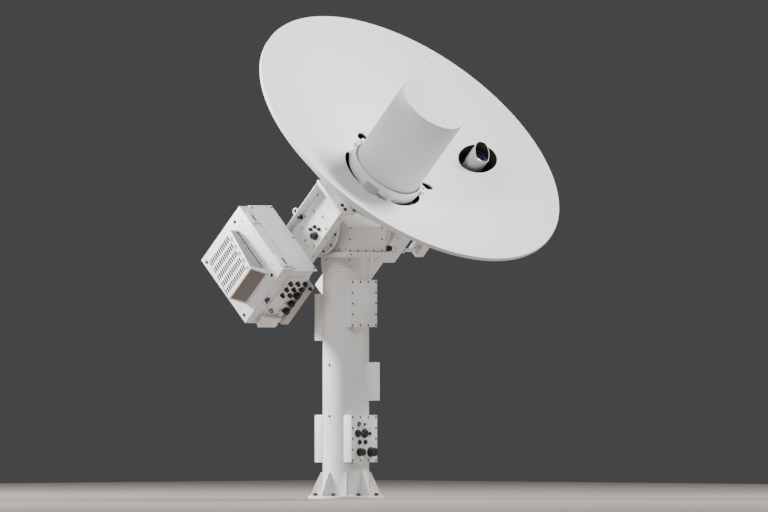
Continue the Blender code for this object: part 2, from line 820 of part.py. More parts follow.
def build_elevation_lock(tip):
    """A ball knob in the left arm's web, pulled outwards to free the arm."""
    near = -(ARM_WEB_X + ARM_WEB_T + 0.002)
    bm = bmesh.new()
    profile = [
        (0, near + 0.004), (LOCK_STEM_R, near + 0.004), (LOCK_STEM_R, near),
        (LOCK_BALL_R, near), (LOCK_BALL_R, near - 0.010), (LOCK_STEM_R, near - 0.012),
    ]
    profile += ball_profile(near - 0.014 - LOCK_BALL_R, LOCK_BALL_R, LOCK_STEM_R, -1)
    place = (0, -EL_LOCK_FU[0], EL_LOCK_FU[1])
    add_turned(bm, profile, "X", place, BALL_STEPS)
    make_part("elevation_lock_knob", bm, "black_plastic", tip, (near, *place[1:]))


def build_elevation_shaft(tip):
    far = ARM_WEB_X - GAP
    bm = bmesh.new()
    profile = [
        (0, -far), (HUB_R, -far), (HUB_R, -HUB_FLANGE_X[1]), (HUB_FLANGE_R, -HUB_FLANGE_X[1]),
        (HUB_FLANGE_R, -HUB_FLANGE_X[0]), (SHAFT_R, -HUB_FLANGE_X[0]), (SHAFT_R, far), (0, far),
    ]
    add_turned(bm, profile, "X")
    make_part("elevation_shaft", bm, "white_paint", tip)
    bm = bmesh.new()
    bore = SHAFT_R + GAP
    profile = [
        (bore, far), (HUB_R, far), (HUB_R, HUB_FLANGE_X[1]), (HUB_FLANGE_R, HUB_FLANGE_X[1]),
        (HUB_FLANGE_R, HUB_FLANGE_X[0]), (bore, HUB_FLANGE_X[0]),
    ]
    add_turned(bm, profile, "X")
    make_part("right_hub", bm, "white_paint", tip)
    bm = bmesh.new()
    add_turned(bm, tube_profile(bore, EL_GEAR_R, *EL_DRIVE_X), "X")
    make_part("elevation_gear", bm, "steel", tip)


def build_dish_support(tip):
    bm = bmesh.new()
    half_x, half_u = MOUNT_PLATE_HALF
    fu_box(bm, (-half_x, half_x), MOUNT_PLATE_F, (-half_u, half_u))
    make_part("dish_mount_plate", bm, "white_paint", tip)

    bm = bmesh.new()
    inner = DRUM_R - DRUM_WALL
    foot = MOUNT_PLATE_F[1] + GAP
    profile = [
        (inner, -foot), (DRUM_R, -foot),
        (DRUM_R, -(dish_back(DRUM_R) - 2 * GAP)), (inner, -(dish_back(inner) - 2 * GAP)),
    ]
    add_turned(bm, profile, "Y")
    frame = make_part("backing_frame", bm, "white_paint", tip)
    root = DRUM_R - DRUM_WALL / 2
    stations = [root + (RIB_END_R - root) * k / RIB_STATIONS for k in range(RIB_STATIONS + 1)]
    outline = [(r, -(dish_back(r) - RIB_CLEAR)) for r in stations]
    outline.append((RIB_END_R, -(dish_back(RIB_END_R) - RIB_TIP_DEPTH)))
    outline.append((root, -(VERTEX_F - RIB_ROOT_DEPTH)))

    def rib(one):
        add_prism(one, outline, "Z", (-RIB_T / 2, RIB_T / 2))

    fuse(frame, wheel(rib, "Y", RIB_COUNT, 0.5), "ribs")


def build_reflector(tip):
    bm = bmesh.new()
    spacing = (DISH_R - DISH_BORE_R) / DISH_RINGS
    radii = [DISH_BORE_R + spacing * k for k in range(DISH_RINGS + 1)]
    lip_inner = DISH_R - DISH_T
    lip_end = -(dish_front(DISH_R) - RIM_DEPTH)
    profile = [(r, -dish_front(r)) for r in radii]
    profile += [(DISH_R, lip_end), (lip_inner, lip_end), (lip_inner, -dish_back(lip_inner))]
    profile += [(r, -dish_back(r)) for r in reversed(radii[:-1])]
    add_turned(bm, profile, "Y", (0, 0, 0), DISH_STEPS)
    dish = make_part("reflector", bm, "dish_coat", tip)
    port = bmesh.new()
    through = (-VERTEX_F - 0.4, -VERTEX_F)
    add_cylinder(port, "Y", (CAMERA_X, 0, 0), CAMERA_PORT_R, through, 32)
    cut(dish, port, "camera_port")


def build_feed(tip):
    seat = dish_front(RADOME_R) + facet_rise() + GAP
    inner = RADOME_R - RADOME_WALL
    bm = bmesh.new()
    profile = [
        (inner, -seat), (RADOME_R, -seat), (RADOME_R, -(RADOME_TOP_F - 0.006)),
        (RADOME_R - 0.006, -RADOME_TOP_F), (0, -RADOME_TOP_F),
        (0, -(RADOME_TOP_F - RADOME_WALL)), (inner, -(RADOME_TOP_F - RADOME_WALL)),
    ]
    add_turned(bm, profile, "Y", steps=LARGE_STEPS)
    make_part("feed_radome", bm, "radome_shell", tip)

    bm = bmesh.new()
    ring_in, ring_out = CLAMP_RING_R
    foot = dish_front(ring_out) + facet_rise() + GAP
    wall_r = ring_in + CLAMP_RING_WALL
    ledge = foot + CLAMP_RING_WALL
    top = foot + CLAMP_RING_H
    profile = [
        (ring_in, -foot), (ring_out, -foot), (ring_out, -ledge),
        (wall_r, -ledge), (wall_r, -top), (ring_in, -top),
    ]
    add_turned(bm, profile, "Y", steps=LARGE_STEPS)
    make_part("feed_clamp_ring", bm, "white_paint", tip)


def build_horn(tip):
    """The waveguide and its flared mouth, behind the radome."""
    bm = bmesh.new()
    foot = MOUNT_PLATE_F[1] + GAP
    flange = foot + 0.010
    guide_end, throat, mouth = HORN_F
    guide_r, mouth_r = HORN_R
    skin = 0.006
    profile = [
        (0, -foot), (HORN_FOOT_R, -foot), (HORN_FOOT_R, -flange), (guide_r, -flange),
        (guide_r, -throat), (mouth_r, -mouth), (mouth_r - skin, -mouth),
        (guide_r - skin, -throat), (guide_r - skin, -guide_end), (0, -guide_end),
    ]
    add_turned(bm, profile, "Y", steps=SMALL_STEPS + 4)
    make_part("feed_horn", bm, "aluminium", tip)


def build_subreflector(tip):
    """The shaped mirror that hangs from the radome's top by a short stem."""
    bm = bmesh.new()
    cap = RADOME_TOP_F - RADOME_WALL - GAP
    apex, middle, edge = SUBREFLECTOR_F
    back = edge + 0.006
    profile = [
        (0, -apex), (SUBREFLECTOR_R * 0.43, -middle), (SUBREFLECTOR_R, -edge),
        (SUBREFLECTOR_R, -back), (SUBREFLECTOR_STEM_R, -back),
        (SUBREFLECTOR_STEM_R, -cap), (0, -cap),
    ]
    add_turned(bm, profile, "Y", steps=SMALL_STEPS + 4)
    make_part("subreflector", bm, "aluminium", tip)


def build_camera(tip):
    bm = bmesh.new()
    out_r = CAMERA_PORT_R - 0.004
    wall_r = out_r - CAMERA_CUP_WALL
    floor = CAMERA_FLOOR_F
    inside = floor + 2 * CAMERA_CUP_WALL
    profile = [
        (0, -floor), (out_r, -floor), (out_r, -CAMERA_CUP_F), (wall_r, -CAMERA_CUP_F),
        (wall_r, -inside), (0, -inside),
    ]
    add_turned(bm, profile, "Y", (CAMERA_X, 0, 0), SMALL_STEPS + 4)
    make_part("camera_cup", bm, "white_paint", tip)

    bm = bmesh.new()
    foot = inside + GAP
    skin = 0.004
    hood_r = CAMERA_R + skin
    profile = [
        (0, -foot), (CAMERA_R * 0.6, -foot), (CAMERA_R, -(foot + 0.020)),
        (CAMERA_R, -CAMERA_HOOD_F), (hood_r, -CAMERA_HOOD_F), (hood_r, -CAMERA_VISOR_F),
        (CAMERA_R, -CAMERA_VISOR_F), (CAMERA_R, -CAMERA_LENS_F), (0, -CAMERA_LENS_F),
    ]
    add_turned(bm, profile, "Y", (CAMERA_X, 0, 0), SMALL_STEPS + 4)
    body = make_part("camera_body", bm, "aluminium", tip)
    slope = bmesh.new()
    beyond = CAMERA_VISOR_F + 0.1
    outline = [
        (-CAMERA_NOSE_F, -0.10), (-CAMERA_NOSE_F, -0.040), (-CAMERA_VISOR_F, 0.055),
        (-beyond, 0.100), (-beyond, -0.10),
    ]
    add_prism(slope, outline, "X", (CAMERA_X - 0.10, CAMERA_X + 0.10))
    cut(body, slope, "visor_slope")

    bm = bmesh.new()
    dome_steps = 3
    dome_h = 0.012
    rim_r = CAMERA_R - skin
    seat = CAMERA_LENS_F + GAP
    profile = [(0, -seat), (rim_r, -seat)]
    for index in range(dome_steps):
        angle = math.radians(90) * index / dome_steps
        station = seat + 0.003 + dome_h * math.sin(angle)
        profile.append((rim_r * math.cos(angle), -station))
    profile.append((0, -(seat + 0.003 + dome_h)))
    add_turned(bm, profile, "Y", (CAMERA_X, 0, 0), SMALL_STEPS + 4)
    make_part("camera_lens", bm, "lens_glass", tip)


def build_right_side(tip):
    bm = bmesh.new()
    fu_box(bm, SERVO_X, SERVO_F, SERVO_U)
    servo = make_part("servo_box", bm, "white_paint", tip)
    inside = bmesh.new()
    wall = SERVO_WALL
    fu_box(
        inside,
        (SERVO_X[0] - 0.01, SERVO_X[1] - wall),
        (SERVO_F[0] + wall, SERVO_F[1] - wall),
        (SERVO_U[0] + wall, SERVO_U[1] - wall),
    )
    cut(servo, inside, "inside")

    bm = bmesh.new()
    head_f = CAMERA_FLOOR_F - GAP
    fu_box(bm, OUTRIGGER_X, (OUTRIGGER_TAIL_F, head_f), OUTRIGGER_U)
    outrigger = make_part("outrigger", bm, "white_paint", tip)
    pocket = bmesh.new()
    wall = OUTRIGGER_WALL
    fu_box(
        pocket,
        (OUTRIGGER_X[0] + wall, OUTRIGGER_X[1] - wall),
        (OUTRIGGER_TAIL_F + wall, head_f - 2 * wall),
        (OUTRIGGER_U[0] + wall, OUTRIGGER_U[1] + 0.01),
    )
    cut(outrigger, pocket, "trough")

    tie_rod = bmesh.new()
    start, end = SERVO_X[1] + GAP, OUTRIGGER_X[0]
    profile = [
        (0, start), (TIE_NUT_R, start), (TIE_NUT_R, start + TIE_NUT_T),
        (TIE_ROD_R, start + TIE_NUT_T), (TIE_ROD_R, end - TIE_NUT_T),
        (TIE_NUT_R, end - TIE_NUT_T), (TIE_NUT_R, end + 0.002), (0, end + 0.002),
    ]
    add_turned(tie_rod, profile, "X", (0, -TIE_ROD_FU[0], TIE_ROD_FU[1]), 16)
    fuse(outrigger, tie_rod, "tie_rod")


# ---------------------------------------------------------------- electronics box
def build_electronics_case(tip):
    bm = bmesh.new()
    fu_box(bm, CASE_X, CASE_F, CASE_U)
    case = make_part("electronics_case", bm, "white_paint", tip)
    inside = bmesh.new()
    fu_box(
        inside,
        (CASE_X[0] - 0.01, CASE_X[1] - CASE_WALL),
        (CASE_F[0] + CASE_WALL, CASE_F[1] - CASE_WALL),
        (CASE_U[0] + CASE_WALL, CASE_U[1] - CASE_WALL),
    )
    cut(case, inside, "inside")

    bm = bmesh.new()
    fu_box(bm, (CASE_X[0] + 0.002, CASE_X[1]), FACE_PLATE_F, FACE_PLATE_U)
    make_part("case_face_plate", bm, "white_paint", tip)

    bm = bmesh.new()
    fu_box(bm, (BRACKET_X, -ARM_WEB_X), BRACKET_F, BRACKET_U)
    bracket = make_part("case_bracket", bm, "white_paint", tip)
    channel = bmesh.new()
    wall = BRACKET_WALL
    fu_box(
        channel,
        (BRACKET_X + wall, -ARM_WEB_X + 0.01),
        (BRACKET_F[0] + wall, BRACKET_F[1] - wall),
        (BRACKET_U[0] + wall, BRACKET_U[1] - wall),
    )
    cut(bracket, channel, "channel")

    bm = bmesh.new()
    fu_box(bm, AMPLIFIER_X, AMPLIFIER_F, AMPLIFIER_U)
    make_part("power_amplifier", bm, "aluminium", tip)


def build_gland_plate(tip):
    """The connector field under the box: one plate with its fixed shells."""
    top = CASE_U[0] - GAP
    bottom = top - GLAND_PLATE_T
    bm = bmesh.new()
    fu_box(bm, GLAND_PLATE_X, GLAND_PLATE_F, (bottom, top))
    plate = make_part("gland_plate", bm, "white_paint", tip)
    shells = bmesh.new()
    pitch_x, pitch_f = GLAND_PITCH
    for column in range(3):
        for row in range(3):
            if (column, row) == (2, 2):
                continue
            centre = (GLAND_X0 + column * pitch_x, -(GLAND_F0 - row * pitch_f), 0)
            radius, length = GLAND_SMALL
            add_cylinder(shells, "Z", centre, radius, (bottom - length, bottom + 0.002), 12)
    for f_place in GLAND_LARGE_F:
        radius, length = GLAND_LARGE
        centre = (GLAND_LARGE_X, -f_place, 0)
        add_cylinder(shells, "Z", centre, radius, (bottom - length, bottom + 0.002), 16)
    fuse(plate, shells, "shells")
    filter_box = bmesh.new()
    outline = [
        (-0.600, 0.592), (-0.425, 0.592), (-0.425, 0.640), (-0.455, 0.640),
        (-0.455, 0.672), (-0.600, 0.672),
    ]
    add_prism(filter_box, outline, "Z", (top - FILTER_BOX_H, top))
    fuse(plate, filter_box, "filter_box")


def build_lid(tip):
    """The deep lid, its vent hood, fan and latch, in a frame on the hinge line."""
    hinge = make_empty("lid_hinge_axis", (LID_PIN_X, -LID_PIN_F, 0), tip)

    def block(bm, xs, fs, us):
        low = (xs[0] - LID_PIN_X, LID_PIN_F - fs[1], us[0])
        high = (xs[1] - LID_PIN_X, LID_PIN_F - fs[0], us[1])
        add_box(bm, low, high)

    bm = bmesh.new()
    block(bm, LID_X, CASE_F, CASE_U)
    lid = make_part("case_lid", bm, "white_paint", hinge)
    inside = bmesh.new()
    block(
        inside,
        (LID_X[0] + LID_WALL, LID_X[1] + 0.01),
        (CASE_F[0] + LID_WALL, CASE_F[1] - LID_WALL),
        (CASE_U[0] + LID_WALL, CASE_U[1] - LID_WALL),
    )
    cut(lid, inside, "inside")
    vent_y = LID_PIN_F - VENT_FU[0]
    face_x = LID_X[0] - LID_PIN_X
    vent = bmesh.new()
    add_cylinder(vent, "X", (0, vent_y, VENT_FU[1]), VENT_R, (face_x - 0.01, face_x + 0.01), 32)
    cut(lid, vent, "vent")
    keyhole = bmesh.new()
    place = (LATCH_XF[0] - LID_PIN_X, LID_PIN_F - LATCH_XF[1], 0)
    through = (CASE_U[0] - 0.01, CASE_U[0] + 0.01)
    add_cylinder(keyhole, "Z", place, LATCH_STEM_R + 0.001, through, 16)
    cut(lid, keyhole, "latch_hole")

    build_hood(hinge)
    build_fan(hinge, face_x, vent_y)
    build_latch(hinge)


def build_hood(hinge):
    """A wedge of sheet metal over the vent, deepest at its mesh end."""
    base = LID_X[0] - LID_PIN_X - GAP
    deep, shallow = HOOD_OUT
    end_u, edge_u, top_u = HOOD_U
    y_span = (LID_PIN_F - HOOD_F[1], LID_PIN_F - HOOD_F[0])

    def wedge(out, low_u, low_edge_u, high_u, near):
        return [
            (near, low_u), (base - deep + out, low_edge_u),
            (base - shallow + out, high_u), (near, high_u),
        ]

    bm = bmesh.new()
    add_prism(bm, wedge(0, end_u, edge_u, top_u, base), "Y", y_span)
    hood = make_part("vent_hood", bm, "white_paint", hinge)
    inside = bmesh.new()
    t = HOOD_WALL
    add_prism(
        inside,
        wedge(t, end_u + t, edge_u + t, top_u - t, base + 0.01),
        "Y",
        (y_span[0] + t, y_span[1] - t),
    )
    cut(hood, inside, "inside")


def build_fan(hinge, face_x, vent_y):
    """A rotor that turns in the lid's vent, on the shaft of a motor across the opening."""
    centre = Vector((0, vent_y, VENT_FU[1]))
    tip_r = VENT_R - 0.006
    inner_x = face_x + LID_WALL + 0.006
    middle_x = inner_x + FAN_HUB_T / 2
    bm = bmesh.new()
    hub = tube_profile(FAN_SHAFT_R + 0.0006, FAN_HUB_R, inner_x, inner_x + FAN_HUB_T)
    add_turned(bm, hub, "X", centre, 24)
    rotor = make_part("fan_rotor", bm, "black_plastic", hinge, centre)

    def blade(one):
        add_box(one, (-0.0015, -0.016, FAN_HUB_R - 0.004), (0.0015, 0.016, tip_r))
        pitch = Matrix.Rotation(math.radians(35), 4, "Z")
        place = Matrix.Translation((middle_x, 0, 0))
        bmesh.ops.transform(one, matrix=place @ pitch, verts=one.verts)

    blades = wheel(blade, "X", FAN_BLADES)
    bmesh.ops.translate(blades, verts=blades.verts, vec=centre)
    fuse(rotor, blades, "blades")
    build_fan_motor(hinge, centre, inner_x, face_x + LID_WALL + GAP)


def build_fan_motor(hinge, centre, shaft_end, skin):
    """The motor, its shaft and the bar that carries it between two feet."""
    y, z = centre.y, centre.z
    back = shaft_end + FAN_HUB_T + 0.004
    half_w = 0.008
    bm = bmesh.new()
    add_cylinder(bm, "X", centre, FAN_HUB_R + 0.002, (back, back + 0.012), 24)
    motor = make_part("fan_motor", bm, "grey_paint", hinge)
    bar = bmesh.new()
    add_cylinder(bar, "X", centre, FAN_SHAFT_R, (shaft_end - 0.002, back + 0.002), 16)
    reach = VENT_R + 0.020
    add_box(
        bar,
        (back + 0.002, y - reach, z - half_w),
        (back + 0.010, y + reach, z + half_w),
    )
    fuse(motor, bar, "bar")
    feet = bmesh.new()
    for side in (-1, 1):
        foot_y = y + side * (reach - 0.004)
        add_box(
            feet,
            (skin, foot_y - 0.004, z - half_w),
            (back + 0.004, foot_y + 0.004, z + half_w),
        )
    fuse(motor, feet, "feet")


def build_latch(hinge):
    """A quarter-turn key handle under the lid's lower edge."""
    x, y = LATCH_XF[0] - LID_PIN_X, LID_PIN_F - LATCH_XF[1]
    skin = CASE_U[0]
    bm = bmesh.new()
    profile = [
        (0, skin + 0.006), (LATCH_STEM_R, skin + 0.006), (LATCH_STEM_R, skin - 0.001),
        (LATCH_R, skin - 0.001), (LATCH_R, skin - 0.010), (0, skin - 0.010),
    ]
    add_turned(bm, profile, "Z", (x, y, 0), 20)
    latch = make_part("lid_latch", bm, "black_plastic", hinge, (x, y, skin))
    wing = bmesh.new()
    add_box(wing, (x - 0.006, y - 0.026, skin - 0.022), (x + 0.006, y + 0.026, skin - 0.008))
    fuse(latch, wing, "wing")


# ---------------------------------------------------------------- whole antenna
def build():
    for thing in list(bpy.data.objects):
        bpy.data.objects.remove(thing, do_unlink=True)

    build_base_flange()
    build_column()
    build_column_box("front_upper", -1, FRONT_UPPER_Z)
    panel = build_column_box("front_lower", -1, FRONT_LOWER_Z)
    build_column_box("rear_upper", 1, REAR_UPPER_Z)
    build_column_box("rear_lower", 1, REAR_LOWER_Z)
    build_side_cover()
    build_panel_fittings(panel)
    build_column_insides()

    azimuth = make_empty("azimuth_axis", (0, 0, 0))
    build_turntable(azimuth)
    build_head_housing(azimuth)
    build_elevation_bearings(azimuth)
    build_azimuth_drive(azimuth)
    build_elevation_drive(azimuth)
    build_azimuth_lock(azimuth)

    tip = make_empty("elevation_axis", (0, 0, ELEVATION_Z), azimuth, (-REST_ELEVATION, 0, 0))
    build_arm("left_arm", -1, tip)
    build_arm("right_arm", 1, tip)
    build_elevation_lock(tip)
    build_elevation_shaft(tip)
    build_dish_support(tip)
    build_reflector(tip)
    build_feed(tip)
    build_horn(tip)
    build_subreflector(tip)
    build_camera(tip)
    build_right_side(tip)
    build_electronics_case(tip)
    build_gland_plate(tip)
    build_lid(tip)


build()
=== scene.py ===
import json
import math

import bmesh
import bpy
from mathutils import Matrix, Vector


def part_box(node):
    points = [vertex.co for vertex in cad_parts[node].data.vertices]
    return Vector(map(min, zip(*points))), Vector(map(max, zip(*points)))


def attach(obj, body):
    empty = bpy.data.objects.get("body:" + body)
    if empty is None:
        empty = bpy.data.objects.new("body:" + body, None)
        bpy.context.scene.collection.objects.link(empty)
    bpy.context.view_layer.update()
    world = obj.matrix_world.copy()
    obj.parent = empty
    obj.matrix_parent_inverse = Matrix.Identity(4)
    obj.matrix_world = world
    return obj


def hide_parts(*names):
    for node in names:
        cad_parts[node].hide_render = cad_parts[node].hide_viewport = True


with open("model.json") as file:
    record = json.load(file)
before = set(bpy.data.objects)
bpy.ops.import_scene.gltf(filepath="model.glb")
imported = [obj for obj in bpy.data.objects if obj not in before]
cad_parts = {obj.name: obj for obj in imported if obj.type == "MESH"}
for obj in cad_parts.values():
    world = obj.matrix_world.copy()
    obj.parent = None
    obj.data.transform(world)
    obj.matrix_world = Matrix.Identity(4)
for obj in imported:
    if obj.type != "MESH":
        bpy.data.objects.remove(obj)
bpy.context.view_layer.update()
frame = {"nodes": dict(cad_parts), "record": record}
nodes = frame["nodes"]
record = frame["record"]
joints = {joint["name"]: joint for joint in record["behaviour"]["joints"]}

# ---------------------------------------------------------------- places
# WORLD holds the pedestal and the turntable. TIP holds the tipping frame: x across,
# y away from the target and z up the dish, so a station f along the boresight is y = -f.
REST_ELEVATION = 45
PIVOT = Vector(joints["elevation"]["pos_m"])
WORLD = Matrix.Identity(4)
TIP = Matrix.Translation(PIVOT) @ Matrix.Rotation(math.radians(-REST_ELEVATION), 4, "X")
SKIN = 0.0004               # how far a piece stands off the surface that it sits on

AXIS_TURN = {
    "X": Matrix.Rotation(math.radians(90), 4, "Y"),
    "Y": Matrix.Rotation(math.radians(-90), 4, "X"),
    "Z": Matrix.Identity(4),
}


def own_box(node, place=WORLD):
    """A CAD node's lowest and highest corners in a place's own axes."""
    back = place.inverted()
    points = [back @ vertex.co for vertex in nodes[node].data.vertices]
    low = Vector([min(point[i] for point in points) for i in range(3)])
    high = Vector([max(point[i] for point in points) for i in range(3)])
    return low, high


def middle(corners, axis):
    """Halfway between two corners along one axis."""
    low, high = corners
    return (low[axis] + high[axis]) / 2


def polar(radius, angle):
    """The two coordinates of a place at a radius and an angle (degrees)."""
    turn = math.radians(angle)
    return radius * math.cos(turn), radius * math.sin(turn)


# ---------------------------------------------------------------- finishes
def feed(tree, socket, value):
    """Links an output to a socket, or sets a constant on the socket itself."""
    if isinstance(value, bpy.types.NodeSocket):
        tree.links.new(value, socket)
    else:
        socket.default_value = value


def add_node(tree, kind, place, feeds=None, **settings):
    """A node with its settings; feeds maps its inputs to outputs or constants."""
    node = tree.nodes.new(kind)
    node.location = place
    for name, value in settings.items():
        setattr(node, name, value)
    for key, value in (feeds or {}).items():
        feed(tree, node.inputs[key], value)
    return node


def noise(tree, at, scale, detail, place):
    feeds = {"Vector": at, "Scale": scale, "Detail": detail}
    return add_node(tree, "ShaderNodeTexNoise", place, feeds).outputs["Fac"]


def maths(tree, operation, values, place, **settings):
    feeds = dict(enumerate(values))
    node = add_node(tree, "ShaderNodeMath", place, feeds, operation=operation, **settings)
    return node.outputs[0]


def mapped(tree, value, span, place, onto=(0.0, 1.0)):
    """A value stretched from one span onto another."""
    feeds = {"Value": value, "From Min": span[0], "From Max": span[1],
             "To Min": onto[0], "To Max": onto[1]}
    return add_node(tree, "ShaderNodeMapRange", place, feeds).outputs["Result"]


def tinted(tree, colour, level, place):
    feeds = {0: colour, "Scale": level}
    return add_node(tree, "ShaderNodeVectorMath", place, feeds, operation="SCALE").outputs[0]


def bumped(tree, height, strength, distance, place):
    feeds = {"Height": height, "Strength": strength, "Distance": distance}
    return add_node(tree, "ShaderNodeBump", place, feeds).outputs["Normal"]


def mixed(tree, mask, under, over, place):
    """One colour over another where the mask is 1."""
    feeds = {"Factor": mask, "A": under, "B": (*over, 1)}
    return add_node(tree, "ShaderNodeMix", place, feeds, data_type="RGBA").outputs["Result"]


def new_group(name, inputs, outputs):
    """A node group with named sockets: the group, its inputs, its end and object places."""
    group = bpy.data.node_groups.new(name, "ShaderNodeTree")
    for label, kind, value in inputs:
        socket = group.interface.new_socket(name=label, in_out="INPUT", socket_type=kind)
        socket.default_value = value
    for label, kind in outputs:
        group.interface.new_socket(name=label, in_out="OUTPUT", socket_type=kind)
    start = add_node(group, "NodeGroupInput", (-900, 0))
    end = add_node(group, "NodeGroupOutput", (700, 0))
    at = add_node(group, "ShaderNodeTexCoord", (-900, -300)).outputs["Object"]
    return group, start.outputs, end, at


def close_group(group, end, **results):
    for label, value in results.items():
        feed(group, end.inputs[label], value)
    return group


SURFACE_OUTPUTS = (("Colour", "NodeSocketColor"), ("Roughness", "NodeSocketFloat"),
                   ("Normal", "NodeSocketVector"))
MASK_OUTPUT = (("Mask", "NodeSocketFloat"),)


def spray_coat_group():
    """Cloudy colour, uneven gloss and the fine orange peel of a sprayed coat."""
    group, given, end, at = new_group("spray_coat", (
        ("Colour", "NodeSocketColor", (0.8, 0.8, 0.8, 1)),
        ("Cloud", "NodeSocketFloat", 0.04),
        ("Gloss", "NodeSocketFloat", 0.4),
        ("Peel", "NodeSocketFloat", 0.1),
        ("Peel Scale", "NodeSocketFloat", 420.0),
    ), SURFACE_OUTPUTS)
    cloud = noise(group, at, 5.0, 5.0, (-600, 200))
    speck = noise(group, at, 90.0, 3.0, (-600, -100))
    peel = noise(group, at, given["Peel Scale"], 2.0, (-600, -400))
    lift = maths(group, "SUBTRACT", (cloud, 0.5), (-400, 200))
    depth = maths(group, "MULTIPLY", (lift, given["Cloud"]), (-220, 200))
    level = maths(group, "ADD", (depth, 1.0), (-40, 200))
    colour = tinted(group, given["Colour"], level, (140, 200))
    rough = maths(group, "MULTIPLY_ADD", (speck, 0.16, given["Gloss"]), (-220, -60))
    normal = bumped(group, peel, given["Peel"], 0.0004, (140, -300))
    return close_group(group, end, Colour=colour, Roughness=rough, Normal=normal)


def worn_and_highlit_edge_group():
    """A mask that is 1 on outside corners, broken up by a noise: rubbed paint and a painted
    highlight.
    """
    group, given, end, at = new_group("worn_and_highlit_edge", (
        ("Width", "NodeSocketFloat", 0.0012),
        ("Wear", "NodeSocketFloat", 0.5),
    ), MASK_OUTPUT)
    rounded = add_node(group, "ShaderNodeBevel", (-600, 100), {"Radius": given["Width"]},
                       samples=4)
    surface = add_node(group, "ShaderNodeNewGeometry", (-600, -100))
    meet = add_node(group, "ShaderNodeVectorMath", (-400, 100),
                    {0: rounded.outputs["Normal"], 1: surface.outputs["Normal"]},
                    operation="DOT_PRODUCT")
    edge = mapped(group, meet.outputs["Value"], (0.99, 0.80), (-200, 100))
    breakup = noise(group, at, 70.0, 4.0, (-600, -300))
    patchy = mapped(group, breakup, (0.42, 0.62), (-200, -200))
    both = maths(group, "MULTIPLY", (edge, patchy), (20, 0))
    amount = maths(group, "MULTIPLY", (both, given["Wear"]), (200, 0))
    return close_group(group, end, Mask=amount)


def weather_group():
    """A mask of faint dust on what faces up and of runs down what stands upright."""
    group, given, end, at = new_group("weather", (
        ("Dust", "NodeSocketFloat", 0.3),
        ("Runs", "NodeSocketFloat", 0.3),
    ), MASK_OUTPUT)
    surface = add_node(group, "ShaderNodeNewGeometry", (-900, 100))
    split = add_node(group, "ShaderNodeSeparateXYZ", (-700, 100),
                     {0: surface.outputs["Normal"]})
    upward = mapped(group, split.outputs["Z"], (0.3, 1.0), (-500, 100))
    settle = noise(group, at, 14.0, 6.0, (-700, -120))
    dusty = maths(group, "MULTIPLY", (upward, settle), (-300, 60))
    dust = maths(group, "MULTIPLY", (dusty, given["Dust"]), (-120, 60))
    squeeze = add_node(group, "ShaderNodeMapping", (-700, -360),
                       {"Vector": at, "Scale": (60, 60, 1.5)})
    streak = noise(group, squeeze.outputs["Vector"], 1.0, 3.0, (-500, -360))
    thin = mapped(group, streak, (0.60, 0.85), (-300, -300))
    run = maths(group, "MULTIPLY", (thin, given["Runs"]), (-120, -300))
    total = maths(group, "ADD", (dust, run), (80, -60), use_clamp=True)
    return close_group(group, end, Mask=total)


def brushed_group():
    """Fine lines and gloss changes of turned or ground metal."""
    group, given, end, at = new_group("brushed", (
        ("Colour", "NodeSocketColor", (0.6, 0.6, 0.6, 1)),
        ("Gloss", "NodeSocketFloat", 0.3),
        ("Stretch", "NodeSocketVector", (1.0, 1.0, 18.0)),
    ), SURFACE_OUTPUTS)
    squeeze = add_node(group, "ShaderNodeVectorMath", (-700, -100),
                       {0: at, 1: given["Stretch"]}, operation="MULTIPLY")
    lines = noise(group, squeeze.outputs[0], 130.0, 4.0, (-500, -100))
    level = mapped(group, lines, (0.0, 1.0), (-300, 100), (0.86, 1.10))
    colour = tinted(group, given["Colour"], level, (-80, 100))
    rough = maths(group, "MULTIPLY_ADD", (lines, 0.22, given["Gloss"]), (-80, -80))
    normal = bumped(group, lines, 0.15, 0.0003, (-80, -260))
    return close_group(group, end, Colour=colour, Roughness=rough, Normal=normal)


GROUPS = {
    "coat": spray_coat_group(),
    "edge": worn_and_highlit_edge_group(),
    "weather": weather_group(),
    "brushed": brushed_group(),
}


def use_group(tree, name, place, **values):
    feeds = {label.replace("_", " "): value for label, value in values.items()}
    return add_node(tree, "ShaderNodeGroup", place, feeds, node_tree=GROUPS[name]).outputs


def new_material(name):
    material = bpy.data.materials.new(name)
    material.use_nodes = True
    return material, material.node_tree, material.node_tree.nodes["Principled BSDF"].inputs


def coated(name, colour, gloss, cloud=0.05, peel=0.12, peel_scale=420.0, edge_wear_and_highlight_colour=None,
           wear_and_highlight=0.35, dust=0.12, runs=0.10, dirt=(0.42, 0.39, 0.34), coat=0.0):
    """A sprayed or moulded surface: coat, corners lighter as rubbed paint and a painted
    highlight, dust and runs.
    """
    material, tree, shader = new_material(name)
    skin = use_group(tree, "coat", (-800, 0), Colour=(*colour, 1), Cloud=cloud, Gloss=gloss,
                     Peel=peel, Peel_Scale=peel_scale)
    soil = use_group(tree, "weather", (-800, -400), Dust=dust, Runs=runs)["Mask"]
    result = mixed(tree, soil, skin["Colour"], dirt, (-500, 0))
    # lighter colour on outside corners: rubbed paint and a painted highlight
    if edge_wear_and_highlight_colour:
        rub_and_highlight = use_group(tree, "edge", (-800, -700), Wear=wear_and_highlight)["Mask"]
        result = mixed(tree, rub_and_highlight, result, edge_wear_and_highlight_colour, (-260, 0))
    for label, value in (("Base Color", result), ("Roughness", skin["Roughness"]),
                         ("Normal", skin["Normal"]), ("Coat Weight", coat),
                         ("Coat Roughness", 0.25)):
        feed(tree, shader[label], value)
    return material


def metal(name, colour, gloss, stretch=(1.0, 1.0, 18.0)):
    """Ground or turned metal, its lines drawn out along one axis."""
    material, tree, shader = new_material(name)
    skin = use_group(tree, "brushed", (-500, 0), Colour=(*colour, 1), Gloss=gloss,
                     Stretch=stretch)
    for label, value in (("Base Color", skin["Colour"]), ("Roughness", skin["Roughness"]),
                         ("Normal", skin["Normal"]), ("Metallic", 1.0)):
        feed(tree, shader[label], value)
    return material


